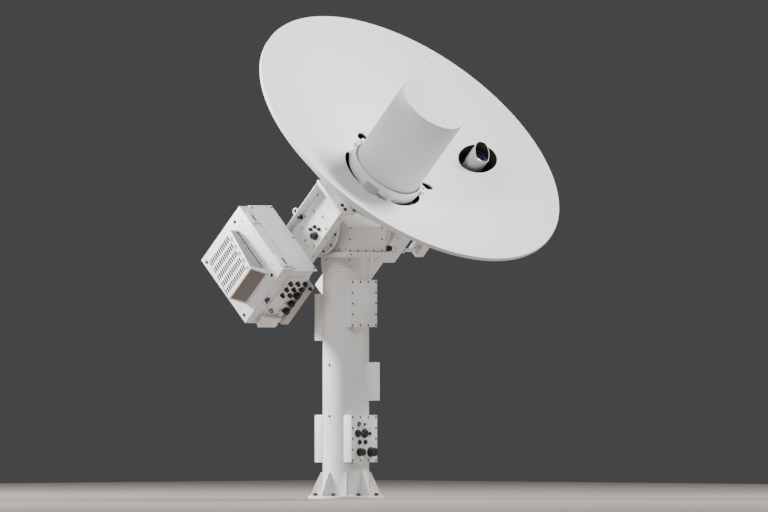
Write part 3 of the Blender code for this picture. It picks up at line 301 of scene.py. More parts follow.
def glass(name, colour):
    """Dark coated glass: a gloss body under a clear coat."""
    material = coated(name, colour, 0.03, cloud=0.3, peel=0.0, dust=0.0, runs=0.0, coat=0.35)
    shader = material.node_tree.nodes["Principled BSDF"]
    shader.inputs["Coat Roughness"].default_value = 0.02
    shader.inputs["Specular IOR Level"].default_value = 0.35
    return material


# the lighter colour of white paint on its corners: rubbed paint and a painted highlight
WARM_EDGE_WEAR_AND_HIGHLIGHT = (0.90, 0.89, 0.87)
FINISHES = {
    # finish: (material, the record's slot)
    "steel_paint": (coated("steel_paint", (0.80, 0.79, 0.775), 0.34, edge_wear_and_highlight_colour=WARM_EDGE_WEAR_AND_HIGHLIGHT),
                    "painted_steel"),
    "panel_paint": (coated("panel_paint", (0.82, 0.81, 0.795), 0.32, edge_wear_and_highlight_colour=WARM_EDGE_WEAR_AND_HIGHLIGHT,
                           peel=0.16), "painted_panel"),
    # white paint darkened to brown-grey as painted shade, for parts that stand in shade
    "paint_darkened_as_shade": (coated("paint_darkened_as_shade", (0.46, 0.42, 0.40), 0.50), "painted_panel"),
    "dish_coat": (coated("dish_coat", (0.79, 0.785, 0.77), 0.50, cloud=0.03, peel=0.10,
                         peel_scale=260.0, edge_wear_and_highlight_colour=WARM_EDGE_WEAR_AND_HIGHLIGHT, dust=0.05, runs=0.03),
                  "dish_coat"),
    "radome_shell": (coated("radome_shell", (0.62, 0.60, 0.585), 0.46, cloud=0.03, peel=0.14,
                            peel_scale=320.0, dust=0.05, runs=0.04), "radome_shell"),
    "ground_steel": (metal("ground_steel", (0.56, 0.56, 0.57), 0.22), "bearing_steel"),
    # screw steel darkened to near-black as painted shade round the heads
    "screw_steel_darkened_as_shade": (metal("screw_steel_darkened_as_shade", (0.085, 0.083, 0.080), 0.38), "bearing_steel"),
    "plated_steel": (metal("plated_steel", (0.70, 0.70, 0.71), 0.14), "bearing_steel"),
    "turned_alloy": (metal("turned_alloy", (0.72, 0.72, 0.73), 0.26, (1.0, 20.0, 1.0)),
                     "machined_aluminium"),
    "camera_silver": (coated("camera_silver", (0.56, 0.56, 0.57), 0.30, cloud=0.08,
                             edge_wear_and_highlight_colour=(0.80, 0.80, 0.80)), "machined_aluminium"),
    "motor_enamel": (coated("motor_enamel", (0.30, 0.31, 0.32), 0.36, peel=0.2,
                            edge_wear_and_highlight_colour=(0.50, 0.50, 0.50)), "motor_grey"),
    "black_moulding": (coated("black_moulding", (0.016, 0.016, 0.017), 0.34, cloud=0.4,
                              peel=0.25, peel_scale=700.0, edge_wear_and_highlight_colour=(0.07, 0.07, 0.07),
                              dust=0.06, runs=0.0), "black_plastic"),
    # black for real seals and gaskets, and as painted shade in openings, sockets, slots and
    # linings
    "black_seal_and_painted_shade": (coated("black_seal_and_painted_shade", (0.010, 0.010, 0.010), 0.75, cloud=0.3, dust=0.0,
                         runs=0.0), "black_plastic"),
    "violet_moulding": (coated("violet_moulding", (0.10, 0.08, 0.17), 0.32, cloud=0.2,
                               edge_wear_and_highlight_colour=(0.2, 0.18, 0.3)), "black_plastic"),
    "grey_moulding": (coated("grey_moulding", (0.36, 0.37, 0.36), 0.38, cloud=0.1,
                             edge_wear_and_highlight_colour=(0.5, 0.5, 0.5)), "black_plastic"),
    "green_cap": (coated("green_cap", (0.01, 0.16, 0.04), 0.22, cloud=0.15, peel=0.05,
                         coat=0.5), "green_plastic"),
    # the mesh's grey darkened to brown as painted shade, for the mesh that faces down
    "mesh_darkened_as_shade": (coated("mesh_darkened_as_shade", (0.33, 0.28, 0.26), 0.45, cloud=0.1,
                          edge_wear_and_highlight_colour=(0.45, 0.40, 0.38)), "painted_panel"),
    "mesh_grey": (coated("mesh_grey", (0.42, 0.41, 0.40), 0.42, cloud=0.1,
                         edge_wear_and_highlight_colour=(0.6, 0.6, 0.6)), "painted_panel"),
    "board_green": (coated("board_green", (0.02, 0.13, 0.06), 0.30, cloud=0.3, coat=0.4),
                    "green_plastic"),
    "grey_cover": (coated("grey_cover", (0.36, 0.375, 0.37), 0.30, cloud=0.04, peel=0.08),
                   "painted_panel"),
    "lens_glass": (glass("lens_coating", (0.004, 0.004, 0.022)), "lens_glass"),
}
SLOT_FINISH = {
    "painted_steel": "steel_paint",
    "painted_panel": "panel_paint",
    "dish_coat": "dish_coat",
    "radome_shell": "radome_shell",
    "bearing_steel": "ground_steel",
    "machined_aluminium": "turned_alloy",
    "motor_grey": "motor_enamel",
    "black_plastic": "black_moulding",
    "green_plastic": "green_cap",
    "lens_glass": "lens_glass",
}
for subpart in record["subparts"]:
    node = nodes[subpart["node"]]
    node.data.materials.clear()
    node.data.materials.append(FINISHES[SLOT_FINISH[subpart["material_slot"]]][0])


# ---------------------------------------------------------------- shapes
def bevel(bm, edges, width, segments=2):
    bmesh.ops.bevel(bm, geom=list(edges), offset=width, segments=segments, profile=0.5,
                    affect="EDGES", material=-1, clamp_overlap=True)


def block(bm, low, high, edge=0.0, segments=2):
    """A block between two corners, its corners rounded."""
    low, high = Vector(low), Vector(high)
    place = Matrix.Translation((low + high) / 2) @ Matrix.Diagonal((*(high - low), 1))
    made = bmesh.ops.create_cube(bm, size=1, matrix=place)["verts"]
    if edge:
        bevel(bm, {e for v in made for e in v.link_edges}, edge, segments)


def fu_block(bm, xs, fs, us, edge=0.0):
    """A block in the tipping frame, given along the boresight."""
    block(bm, (min(xs), -max(fs), min(us)), (max(xs), -min(fs), max(us)), edge)


def turned(bm, profile, axis="Z", centre=(0, 0, 0), steps=96):
    """A closed (radius, station) outline spun once round an axis."""
    before = set(bm.verts)
    points = [bm.verts.new((radius, 0, station)) for radius, station in profile]
    edges = [bm.edges.new(pair) for pair in zip(points, points[1:] + points[:1])]
    bmesh.ops.spin(bm, geom=points + edges, axis=(0, 0, 1), cent=(0, 0, 0),
                   angle=math.tau, steps=steps, use_merge=True)
    made = [v for v in bm.verts if v not in before]
    bmesh.ops.remove_doubles(bm, verts=made, dist=1e-6)
    made = [v for v in bm.verts if v not in before]
    bmesh.ops.transform(bm, verts=made, matrix=Matrix.Translation(centre) @ AXIS_TURN[axis])


def rod(bm, start, end, radius, segments=16, edge=0.0, tip_radius=None):
    """A round bar between two points."""
    start, end = Vector(start), Vector(end)
    along = end - start
    turn = along.to_track_quat("Z", "Y").to_matrix().to_4x4()
    place = Matrix.Translation((start + end) / 2) @ turn
    made = bmesh.ops.create_cone(
        bm, cap_ends=True, segments=segments, radius1=radius,
        radius2=radius if tip_radius is None else tip_radius,
        depth=along.length, matrix=place,
    )["verts"]
    if edge:
        rims = {e for v in made for e in v.link_edges
                if len(e.link_faces) == 2 and any(len(f.verts) > 4 for f in e.link_faces)}
        bevel(bm, rims, edge, 2)


def prism(bm, outline, axis, span, edge=0.0):
    """A flat outline pushed along an axis; its two numbers are the other axes in order."""
    index = "XYZ".index(axis)
    corners = []
    for pair in outline:
        values = list(pair)
        values.insert(index, span[0])
        corners.append(bm.verts.new(values))
    face = bm.faces.new(corners)
    push = Vector((0, 0, 0))
    push[index] = span[1] - span[0]
    made = bmesh.ops.extrude_face_region(bm, geom=[face])["geom"]
    moved = [item for item in made if isinstance(item, bmesh.types.BMVert)]
    bmesh.ops.translate(bm, verts=moved, vec=push)
    if edge:
        bevel(bm, {e for v in corners + moved for e in v.link_edges}, edge)


def ring_loop(bm, centre, axis, radius, wire, steps=40, sides=10, arc=math.tau):
    """A wire bent into a ring, whole or in part, round an axis."""
    before = set(bm.verts)
    circle = bmesh.ops.create_circle(
        bm, segments=sides, radius=wire,
        matrix=Matrix.Translation((radius, 0, 0)) @ Matrix.Rotation(math.pi / 2, 4, "X"),
    )["verts"]
    edges = {e for v in circle for e in v.link_edges}
    whole = abs(arc - math.tau) < 1e-6
    bmesh.ops.spin(bm, geom=circle + list(edges), axis=(0, 0, 1), cent=(0, 0, 0),
                   angle=arc, steps=steps, use_merge=whole)
    made = [v for v in bm.verts if v not in before]
    if not whole:
        ends = [e for e in bm.edges if e.is_boundary and e.verts[0] in made]
        bmesh.ops.holes_fill(bm, edges=ends, sides=0)
    bmesh.ops.transform(bm, verts=made, matrix=Matrix.Translation(centre) @ AXIS_TURN[axis])


SMALL_HEAD = (0.0045, 0.003, 12)        # radius, height, sides
COVER_HEAD = (0.0046, 0.0028, 12)
COVER_WASHER = 0.0064
WASHER_T = 0.0016


def screw(bm, point, way, radius, height, sides=12, washer=0.0):
    """A head, and the washer under it, standing on a surface and pointing a way."""
    point, way = Vector(point), Vector(way).normalized()
    foot = point + way * SKIN
    if washer:
        rod(bm, foot, foot + way * WASHER_T, washer, 16)
        foot = foot + way * WASHER_T
    rod(bm, foot, foot + way * height, radius, sides, tip_radius=radius * 0.88)


def socket_screw(bm, dark, point, way, radius, height):
    """A cap screw, with a dark hexagon in the second mesh painted as the shade of its socket."""
    screw(bm, point, way, radius, height, 16, washer=radius * 1.35)
    way = Vector(way).normalized()
    top = Vector(point) + way * (SKIN + WASHER_T + height)
    rod(dark, top - way * 0.0002, top + way * 0.0004, radius * 0.5, 6)


def edge_places(low, high, count, inset):
    """Evenly spaced places from one inset end to the other."""
    first, last = low + inset, high - inset
    return [first + (last - first) * k / (count - 1) for k in range(count)]


def rim_pattern(xs, ys, across, down, inset):
    """(x, y) places of screws round a panel's edge."""
    columns = edge_places(*xs, across, inset)
    rows = edge_places(*ys, down, inset)
    return [(x, y) for x in columns for y in rows
            if x in (columns[0], columns[-1]) or y in (rows[0], rows[-1])]


def perforated(bm, corners, across, up, bar, thickness):
    """A sheet with a grid of square holes, stretched over four corners."""
    made = bmesh.ops.create_grid(bm, x_segments=across, y_segments=up, size=0.5)["verts"]
    faces = list({f for v in made for f in v.link_faces})
    bmesh.ops.inset_individual(bm, faces=faces, thickness=bar / across,
                               use_even_offset=True)
    bmesh.ops.delete(bm, geom=faces, context="FACES_KEEP_BOUNDARY")
    sheet = [v for v in bm.verts]
    a, b, c, d = (Vector(corner) for corner in corners)
    for vertex in sheet:
        s, t = vertex.co.x + 0.5, vertex.co.y + 0.5
        vertex.co = (a * (1 - s) + b * s) * (1 - t) + (d * (1 - s) + c * s) * t
    bmesh.ops.recalc_face_normals(bm, faces=bm.faces)
    bmesh.ops.solidify(bm, geom=bm.faces[:], thickness=thickness)


def piece(name, bm, body, finish, place=WORLD, replaces=(), smooth=38):
    """A finished piece that rides on a body, with its place in its mesh."""
    bmesh.ops.remove_doubles(bm, verts=bm.verts, dist=1e-6)
    bmesh.ops.transform(bm, verts=bm.verts, matrix=place)
    bmesh.ops.recalc_face_normals(bm, faces=bm.faces)
    mesh = bpy.data.meshes.new(name)
    bm.to_mesh(mesh)
    bm.free()
    mesh.shade_smooth()
    mesh.set_sharp_from_angle(angle=math.radians(smooth))
    material, slot = FINISHES[finish]
    mesh.materials.append(material)
    thing = bpy.data.objects.new(name, mesh)
    bpy.context.scene.collection.objects.link(thing)
    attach(thing, body)
    if replaces:
        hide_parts(*replaces)
    return thing


def slab(name, corners, edge, body, finish, place=WORLD, replaces=()):
    """A piece that is one block with rounded edges."""
    bm = bmesh.new()
    block(bm, *corners, edge)
    return piece(name, bm, body, finish, place, replaces)


def tip_piece(name, bm, finish, replaces=(), smooth=38):
    """A piece of the tipping frame, drawn in its own axes."""
    return piece(name, bm, "tipping_frame", finish, TIP, replaces, smooth)


def carve(thing, bm, place=WORLD):
    """Cuts shapes out of a piece for good."""
    bmesh.ops.transform(bm, verts=bm.verts, matrix=place)
    bmesh.ops.recalc_face_normals(bm, faces=bm.faces)
    mesh = bpy.data.meshes.new("tool")
    bm.to_mesh(mesh)
    bm.free()
    tool = bpy.data.objects.new("tool", mesh)
    bpy.context.scene.collection.objects.link(tool)
    step = thing.modifiers.new("carve", "BOOLEAN")
    step.operation = "DIFFERENCE"
    step.solver = "EXACT"
    step.object = tool
    bpy.context.view_layer.update()
    view = bpy.context.evaluated_depsgraph_get()
    cut_mesh = bpy.data.meshes.new_from_object(thing.evaluated_get(view))
    thing.modifiers.remove(step)
    old = thing.data
    thing.data = cut_mesh
    bpy.data.meshes.remove(old)
    bpy.data.objects.remove(tool)
    bpy.data.meshes.remove(mesh)
    cut_mesh.shade_smooth()
    cut_mesh.set_sharp_from_angle(angle=math.radians(38))


def carve_block(thing, low, high, place=WORLD, edge=0.0):
    """Cuts a block out of a piece."""
    tool = bmesh.new()
    block(tool, low, high, edge)
    carve(thing, tool, place)


def pour(target, source):
    """Adds one mesh's shapes to another and frees it."""
    mesh = bpy.data.meshes.new("poured")
    source.to_mesh(mesh)
    source.free()
    target.from_mesh(mesh)
    bpy.data.meshes.remove(mesh)


def wheel(shape, axis, places, centre=(0, 0, 0)):
    """A shape drawn once for each angle (degrees) round an axis."""
    ring = bmesh.new()
    for angle in places:
        one = bmesh.new()
        shape(one)
        turn = Matrix.Translation(centre) @ Matrix.Rotation(math.radians(angle), 4, axis)
        bmesh.ops.transform(one, matrix=turn, verts=one.verts)
        pour(ring, one)
    return ring


def ball_curve(radius, stem, steps=12):
    """(radius, height) places round a ball, from where its stem ends to its pole."""
    start = math.asin(stem / radius)
    turns = [start + (math.pi - start) * step / steps for step in range(steps)]
    return [(radius * math.sin(a), -radius * math.cos(a)) for a in turns] + [(0, radius)]


def round_connector(shell, dark, point, way, radius, length, flange=1.25):
    """A panel connector: flange, ribbed shell, coupling ring, and a dark disc at its mouth for
    the dark insert and painted shade of the opening.
    """
    point, way = Vector(point), Vector(way).normalized()

    def part(a, b, r, segments=28, edge=0.0008):
        rod(shell, point + way * a, point + way * b, r, segments, edge)

    part(SKIN, 0.004, radius * flange)
    part(0.004, length * 0.45, radius * 0.88)
    part(length * 0.45, length * 0.86, radius, 20, 0.0012)
    part(length * 0.86, length, radius * 0.93)
    # dark disc at the mouth: the dark insert and painted shade of the opening
    rod(dark, point + way * (length - 0.001), point + way * (length + 0.0003),
        radius * 0.74, 24)


# ---------------------------------------------------------------- pedestal
NECK_STEP = 0.008           # how much wider the column is at its neck


def build_base():
    """The base plate, its gussets and the nuts of its anchor bolts."""
    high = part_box("base_flange")[1]
    radius, gusset_top = high.x, high.z
    thick, chamfer, bolt_r = 0.020, 0.002, 0.230
    bm = bmesh.new()
    turned(bm, [(0, 0), (radius - chamfer, 0), (radius, chamfer), (radius, thick - chamfer),
                (radius - chamfer, thick), (0, thick)])
    piece("base_plate", bm, "pedestal", "steel_paint", replaces=["base_flange"])
    column_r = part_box("column_tube")[1].x - NECK_STEP

    def gusset(one):
        outline = [(column_r, thick), (radius - 0.018, thick), (radius - 0.018, thick + 0.010),
                   (column_r + 0.012, gusset_top), (column_r, gusset_top)]
        prism(one, outline, "Y", (-0.006, 0.006), 0.0012)
        for side in (-1, 1):
            rod(one, (column_r + 0.004, side * 0.0065, thick + 0.002),
                (radius - 0.020, side * 0.0065, thick + 0.002), 0.0035, 8)

    piece("base_gussets", wheel(gusset, "Z", range(0, 360, 45)), "pedestal", "steel_paint")

    def anchor(one):
        for low, top, r, sides, edge in (
            (SKIN, 0.0035, 0.0185, 28, 0.0006), (0.0035, 0.0165, 0.0165, 6, 0.001),
            (0.0165, 0.0200, 0.0098, 20, 0.001),
        ):
            rod(one, (bolt_r, 0, thick + low), (bolt_r, 0, thick + top), r, sides, edge)

    places = [22.5 + 45 * k for k in range(8)]
    piece("anchor_nuts", wheel(anchor, "Z", places), "pedestal", "screw_steel_darkened_as_shade")


def build_column_shell():
    """The column, its collar, their screws and the weld seam."""
    low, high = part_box("column_tube")
    tube_r = high.x - NECK_STEP
    neck, top = 1.590, high.z
    inner = tube_r - 0.010
    ledge = top - 0.017
    bore = 0.112
    bead = 0.006
    bm = bmesh.new()
    turned(bm, [
        (inner, low.z), (tube_r + bead, low.z), (tube_r + bead * 0.6, low.z + bead * 0.7),
        (tube_r, low.z + bead * 1.4), (tube_r, neck - 0.010), (tube_r + 0.002, neck - 0.004),
        (high.x - 0.0015, neck), (high.x, neck + 0.0015), (high.x, top - 0.0015),
        (high.x - 0.0015, top), (bore, top), (bore, ledge), (inner, ledge),
    ], steps=128)
    piece("column_shell", bm, "pedestal", "steel_paint", replaces=["column_tube"])

    c_low, c_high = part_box("azimuth_collar")
    r, a, b = c_high.x, c_low.z, c_high.z
    groove = a + 0.012
    bm = bmesh.new()
    turned(bm, [
        (r - 0.0185, a), (r - 0.002, a), (r, a + 0.002), (r, groove - 0.002),
        (r - 0.0025, groove - 0.001), (r - 0.0025, groove + 0.001), (r, groove + 0.002),
        (r, b - 0.002), (r - 0.002, b), (r - 0.0185, b),
    ], steps=128)
    piece("collar_shell", bm, "pedestal", "steel_paint", replaces=["azimuth_collar"])

    collar_z = 1.672

    def set_screw(one):
        screw(one, (r, 0, collar_z), (1, 0, 0), 0.0055, 0.003, 12)

    places = [-126.2 + 60 * k for k in range(6)]
    screws = wheel(set_screw, "Z", places)
    for height in (0.935, 0.578):
        screw(screws, (-tube_r, 0, height), (-1, 0, 0), 0.006, 0.004, 12, washer=0.009)
    piece("column_screws", screws, "pedestal", "screw_steel_darkened_as_shade")

    seam = bmesh.new()
    turned(seam, [(tube_r, 0.6285), (tube_r + 0.0007, 0.629), (tube_r + 0.0007, 0.631),
                  (tube_r, 0.6315), (tube_r - 0.002, 0.630)], steps=96)
    piece("column_weld", seam, "pedestal", "steel_paint")


BOX_BACK = 0.106            # from the column's axis to a box's back
BOX_WALL = 0.005
BOX_LID = 0.004


def build_column_boxes():
    """Four flat boxes on the column: trays, gaskets, covers, screws and drains."""
    heads = bmesh.new()
    drains = bmesh.new()
    gasket = bmesh.new()
    for name in ("front_upper", "front_lower", "rear_upper", "rear_lower"):
        low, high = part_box(f"{name}_box")
        lid_low, lid_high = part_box(f"{name}_lid")
        side = -1 if lid_low.y < 0 else 1
        face = lid_low.y if side < 0 else lid_high.y
        back = side * BOX_BACK
        wall_y = sorted((back, side * (abs(face) - 0.0052)))
        tray = slab(f"{name}_tray", ((low.x, wall_y[0], low.z), (high.x, wall_y[1], high.z)),
                    0.003, "pedestal", "panel_paint", replaces=[f"{name}_box"])
        pocket_y = sorted((back - side * 0.01, side * (abs(face) + 0.02)))
        carve_block(tray, (low.x + BOX_WALL, pocket_y[0], low.z + BOX_WALL),
                    (high.x - BOX_WALL, pocket_y[1], high.z - BOX_WALL))
        lid_y = sorted((face, face - side * BOX_LID))
        lid = slab(f"{name}_cover",
                   ((lid_low.x, lid_y[0], lid_low.z), (lid_high.x, lid_y[1], lid_high.z)),
                   0.0012, "pedestal", "panel_paint", replaces=[f"{name}_lid"])
        seal_y = sorted((face - side * 0.0041, face - side * 0.0051))
        block(gasket, (low.x + 0.002, seal_y[0], low.z + 0.002),
              (high.x - 0.002, seal_y[1], high.z - 0.002))
        for x, z in rim_pattern((low.x, high.x), (low.z, high.z), 4, 5, 0.013):
            screw(heads, (x, face, z), (0, side, 0), 0.0056, 0.0030, 12, washer=0.0072)
        corner = (low.x + 0.022, side * 0.166, low.z)
        rod(drains, corner, (corner[0], corner[1], corner[2] - 0.010), 0.006, 12, 0.0006)
        if name == "front_lower":
            build_panel(lid, face)
    piece("column_box_screws", heads, "pedestal", "screw_steel_darkened_as_shade")
    piece("column_box_drains", drains, "pedestal", "screw_steel_darkened_as_shade")
    piece("column_box_seals", gasket, "pedestal", "black_seal_and_painted_shade")

    build_side_box()


def build_side_box():
    """The box on the column's side, its back cut to the round of the column."""
    low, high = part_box("side_cover")
    cover = slab("side_box", ((0.050, low.y, low.z), high), 0.003, "pedestal", "panel_paint",
                 replaces=["side_cover"])
    pocket = bmesh.new()
    rod(pocket, (0, 0, low.z - 0.02), (0, 0, high.z + 0.02), 0.1608, 96)
    carve(cover, pocket)
    heads = bmesh.new()
    for y, z in rim_pattern((low.y, high.y), (low.z, high.z), 3, 3, 0.016):
        screw(heads, (high.x, y, z), (1, 0, 0), 0.0048, 0.0028, 12, washer=0.0066)
    piece("side_box_screws", heads, "pedestal", "screw_steel_darkened_as_shade")


def build_panel(lid, face):
    """The control panel: its button, its switch, and then what sits round them."""
    button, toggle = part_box("test_button"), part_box("toggle_lever")
    button_x, button_z = middle(button, 0), middle(button, 2)
    toggle_x, toggle_z = middle(toggle, 0), middle(toggle, 2)
    holes = bmesh.new()
    rod(holes, (button_x, face - 0.01, button_z), (button_x, face + 0.02, button_z), 0.009, 24)
    rod(holes, (toggle_x, face - 0.01, toggle_z), (toggle_x, face + 0.02, toggle_z), 0.0057, 20)
    carve(lid, holes)

    bezel = bmesh.new()
    turned(bezel, [(0.0138, face - SKIN), (0.0175, face - SKIN), (0.0175, face - 0.002),
                   (0.0165, face - 0.0035), (0.0138, face - 0.0035)], "Y",
           (button_x, 0, button_z), 40)
    turned(bezel, [(0.0060, face - SKIN), (0.0105, face - SKIN), (0.0100, face - 0.004),
                   (0.0060, face - 0.004)], "Y", (toggle_x, 0, toggle_z), 6)
    piece("switch_bezels", bezel, "pedestal", "black_moulding")

    cap = bmesh.new()
    top, foot = button[0].y, button[1].y
    turned(cap, [(0, foot), (0.008, foot), (0.008, top + 0.008), (0.013, top + 0.008),
                 (0.013, top + 0.002), (0.011, top), (0.006, top + 0.0008),
                 (0, top + 0.0014)], "Y", (button_x, 0, button_z), 40)
    piece("button_cap", cap, "button", "green_cap", replaces=["test_button"])

    lever = bmesh.new()
    tip_y, foot = toggle[0].y, toggle[1].y
    turned(lever, [(0, foot), (0.0045, foot), (0.0045, face - 0.0010),
                   (0.0023, tip_y + 0.006), (0.0040, tip_y + 0.002), (0.0032, tip_y),
                   (0, tip_y)], "Y", (toggle_x, 0, toggle_z), 24)
    piece("toggle_bat", lever, "toggle", "plated_steel", replaces=["toggle_lever"])

    build_panel_connectors(face)
    build_panel_trim(face)


def build_panel_connectors(face):
    """Two power connectors that the record names, and five smaller ones."""
    out = (0, -1, 0)
    dark = bmesh.new()
    for node, radius in (("power_connector_left", 0.027), ("power_connector_right", 0.032)):
        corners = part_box(node)
        centre = (middle(corners, 0), face, middle(corners, 2))
        shell = bmesh.new()
        round_connector(shell, dark, centre, out, radius, face - corners[0].y, 1.12)
        piece(f"{node}_shell", shell, "pedestal", "black_moulding", replaces=[node])

    shells = bmesh.new()
    for x, z, radius, length in (
        (-0.064, 0.458, 0.0225, 0.016), (0.004, 0.458, 0.0265, 0.018),
        (-0.047, 0.397, 0.0140, 0.012), (0.010, 0.397, 0.0140, 0.012),
        (0.056, 0.456, 0.0110, 0.008),
    ):
        round_connector(shells, dark, (x, face, z), out, radius, length)
    block(shells, (-0.062, face - 0.0155, 0.447), (0.002, face - 0.0125, 0.469), 0.001)
    piece("panel_connectors", shells, "pedestal", "black_moulding")
    piece("panel_connector_mouths", dark, "pedestal", "black_seal_and_painted_shade")


def build_panel_trim(face):
    """The earth stud and the small plates over and under the connectors."""
    stud = bmesh.new()
    for near, far, radius, sides, edge in (
        (0, 0.004, 0.010, 24, 0.0005), (0.004, 0.011, 0.0075, 6, 0.0006),
        (0.011, 0.020, 0.004, 16, 0.0005),
    ):
        rod(stud, (0.006, face - near, 0.293), (0.006, face - far, 0.293), radius, sides, edge)
    piece("ground_stud", stud, "pedestal", "plated_steel")

    marks = bmesh.new()
    for x, z, w, h in ((0.056, 0.493, 0.022, 0.010), (-0.051, 0.497, 0.020, 0.006),
                       (0.002, 0.497, 0.020, 0.006), (-0.047, 0.287, 0.028, 0.006),
                       (0.063, 0.284, 0.028, 0.006)):
        block(marks, (x - w / 2, face - 0.0010, z - h / 2), (x + w / 2, face - SKIN, z + h / 2),
              0.0002)
    piece("panel_label_plates", marks, "pedestal", "grey_moulding")


# ---------------------------------------------------------------- turntable
def build_turntable():
    """The turntable deck with its bolts, and the azimuth lock."""
    low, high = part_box("turntable_plate")
    corner = 0.030
    hx, hy = high.x, high.y
    cx, cy = hx - corner, hy - corner
    bm = bmesh.new()
    prism(bm, [(hx, -cy), (hx, cy), (cx, hy), (-cx, hy), (-hx, cy), (-hx, -cy),
               (-cx, -hy), (cx, -hy)], "Z", (low.z, high.z), 0.0025)
    plate = piece("turntable_deck", bm, "turntable", "steel_paint", replaces=["turntable_plate"])
    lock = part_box("azimuth_lock_knob")
    lock_x, lock_y = middle(lock, 0), middle(lock, 1)
    bores = bmesh.new()
    rod(bores, (0, 0, low.z - 0.01), (0, 0, high.z + 0.01), 0.055, 48)
    rod(bores, (0, 0.0905, low.z - 0.01), (0, 0.0905, high.z + 0.01), 0.0275, 40)
    rod(bores, (lock_x, lock_y, low.z - 0.01), (lock_x, lock_y, high.z + 0.01), 0.0072, 24)
    carve(plate, bores)

    heads = bmesh.new()
    for y in (-0.150, 0.150):
        for side in (-1, 1):
            screw(heads, (side * (hx - 0.012), y, high.z), (0, 0, 1), 0.006, 0.006, 6,
                  washer=0.009)
    for side in (-1, 1):
        screw(heads, (-0.186, side * hy, (low.z + high.z) / 2), (0, side, 0), 0.006, 0.003, 12)
    piece("turntable_bolts", heads, "turntable", "screw_steel_darkened_as_shade")

    knob = bmesh.new()
    foot, stem, radius = lock[0].z, 0.006, 0.014
    top = high.z + 0.002
    profile = [(0, foot), (stem, foot), (stem, top), (0.0112, top), (0.0112, top + 0.006),
               (stem, top + 0.008)]
    centre = top + 0.010 + radius
    profile += [(r, centre + height) for r, height in ball_curve(radius, stem)]
    turned(knob, profile, "Z", (lock_x, lock_y, 0), 40)
    piece("azimuth_lock_ball", knob, "azimuth_lock", "plated_steel",
          replaces=["azimuth_lock_knob"])


def build_head():
    """The head's hollow shell, open at its covers and bored for the elevation shaft."""
    low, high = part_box("head_housing")
    shoulder, roof_y = 1.905, 0.110
    wall, frame_w = 0.008, 0.028

    def outline(inset):
        side, roof = high.y - inset, roof_y - inset / 2
        base = low.z if inset == 0 else low.z - 0.02
        top, step = high.z - inset, shoulder - inset * 0.7
        return [(-side, base), (side, base), (side, step), (roof, top), (-roof, top),
                (-side, step)]

    bm = bmesh.new()
    prism(bm, outline(0), "X", (low.x, high.x), 0.004)
    shell = piece("head_shell", bm, "turntable", "steel_paint", replaces=["head_housing"])
    tools = bmesh.new()
    prism(tools, outline(wall), "X", (low.x + wall, high.x - wall))
    carve(shell, tools)
    carve_block(shell, (low.x + frame_w, low.y - 0.01, low.z + frame_w),
                (high.x - frame_w, high.y + 0.01, shoulder - frame_w))
    tools = bmesh.new()
    rod(tools, (low.x - 0.01, 0, PIVOT.z), (high.x + 0.01, 0, PIVOT.z), 0.049, 64)
    carve(shell, tools)

    build_head_covers(low, high)
    build_head_connector()


def build_head_covers(low, high):
    """Front and rear covers with their screws, and the screws of the shell itself."""
    heads = bmesh.new()
    seals = bmesh.new()
    for name, side in (("head_front_cover", -1), ("head_rear_cover", 1)):
        c_low, c_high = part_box(name)
        face = c_low.y if side < 0 else c_high.y
        near = face - side * 0.004
        ys = sorted((face, near))
        slab(f"{name}_sheet", ((c_low.x, ys[0], c_low.z), (c_high.x, ys[1], c_high.z)),
             0.0014, "turntable", "panel_paint", replaces=[name])
        ys = sorted((near - side * SKIN / 2, near + side * 0.0001))
        block(seals, (c_low.x + 0.002, ys[0], c_low.z + 0.002),
              (c_high.x - 0.002, ys[1], c_high.z - 0.002))
        columns = [c_low.x + 0.0125 + 0.0786 * k for k in range(5)]
        rows = [c_high.z - 0.0100 - 0.0784 * k for k in range(3)]
        for x in columns:
            for z in rows:
                inside = x not in (columns[0], columns[-1]) and z != rows[-1]
                if not inside:
                    screw(heads, (x, face, z), (0, side, 0), *COVER_HEAD, washer=COVER_WASHER)
    for y in (-0.190, -0.120, 0.120, 0.190):
        for side in (-1, 1):
            screw(heads, (side * high.x, y, low.z + 0.020), (side, 0, 0), *COVER_HEAD)
    for x in (-0.160, -0.055, 0.055, 0.160):
        for y in (-0.080, 0.080):
            screw(heads, (x, y, high.z), (0, 0, 1), *COVER_HEAD, washer=COVER_WASHER)
    piece("head_screws", heads, "turntable", "screw_steel_darkened_as_shade")
    piece("head_seals", seals, "turntable", "black_seal_and_painted_shade")


def build_head_connector():
    """The connector under the head's edge, with its cap's lanyard loop and its bracket."""
    fitting, mouth = bmesh.new(), bmesh.new()
    x, y, z = 0.207, -0.2145, 1.7514
    round_connector(fitting, mouth, (x, y, z), (0, -1, 0), 0.0205, 0.020, 1.1)
    rod(fitting, (x, y, z), (x, -0.150, z), 0.0185, 28, 0.001)
    ring_loop(fitting, (0.246, -0.226, 1.744), "Y", 0.0210, 0.0016, 36, 8)
    piece("head_connector", fitting, "turntable", "black_moulding")
    piece("head_connector_mouth", mouth, "turntable", "black_seal_and_painted_shade")
    stay = bmesh.new()
    block(stay, (0.190, -0.215, 1.7265), (0.2155, -0.1515, 1.7300), 0.001)
    block(stay, (0.190, -0.2135, 1.7265), (0.2155, -0.2100, 1.7700), 0.001)
    piece("head_connector_bracket", stay, "turntable", "steel_paint")


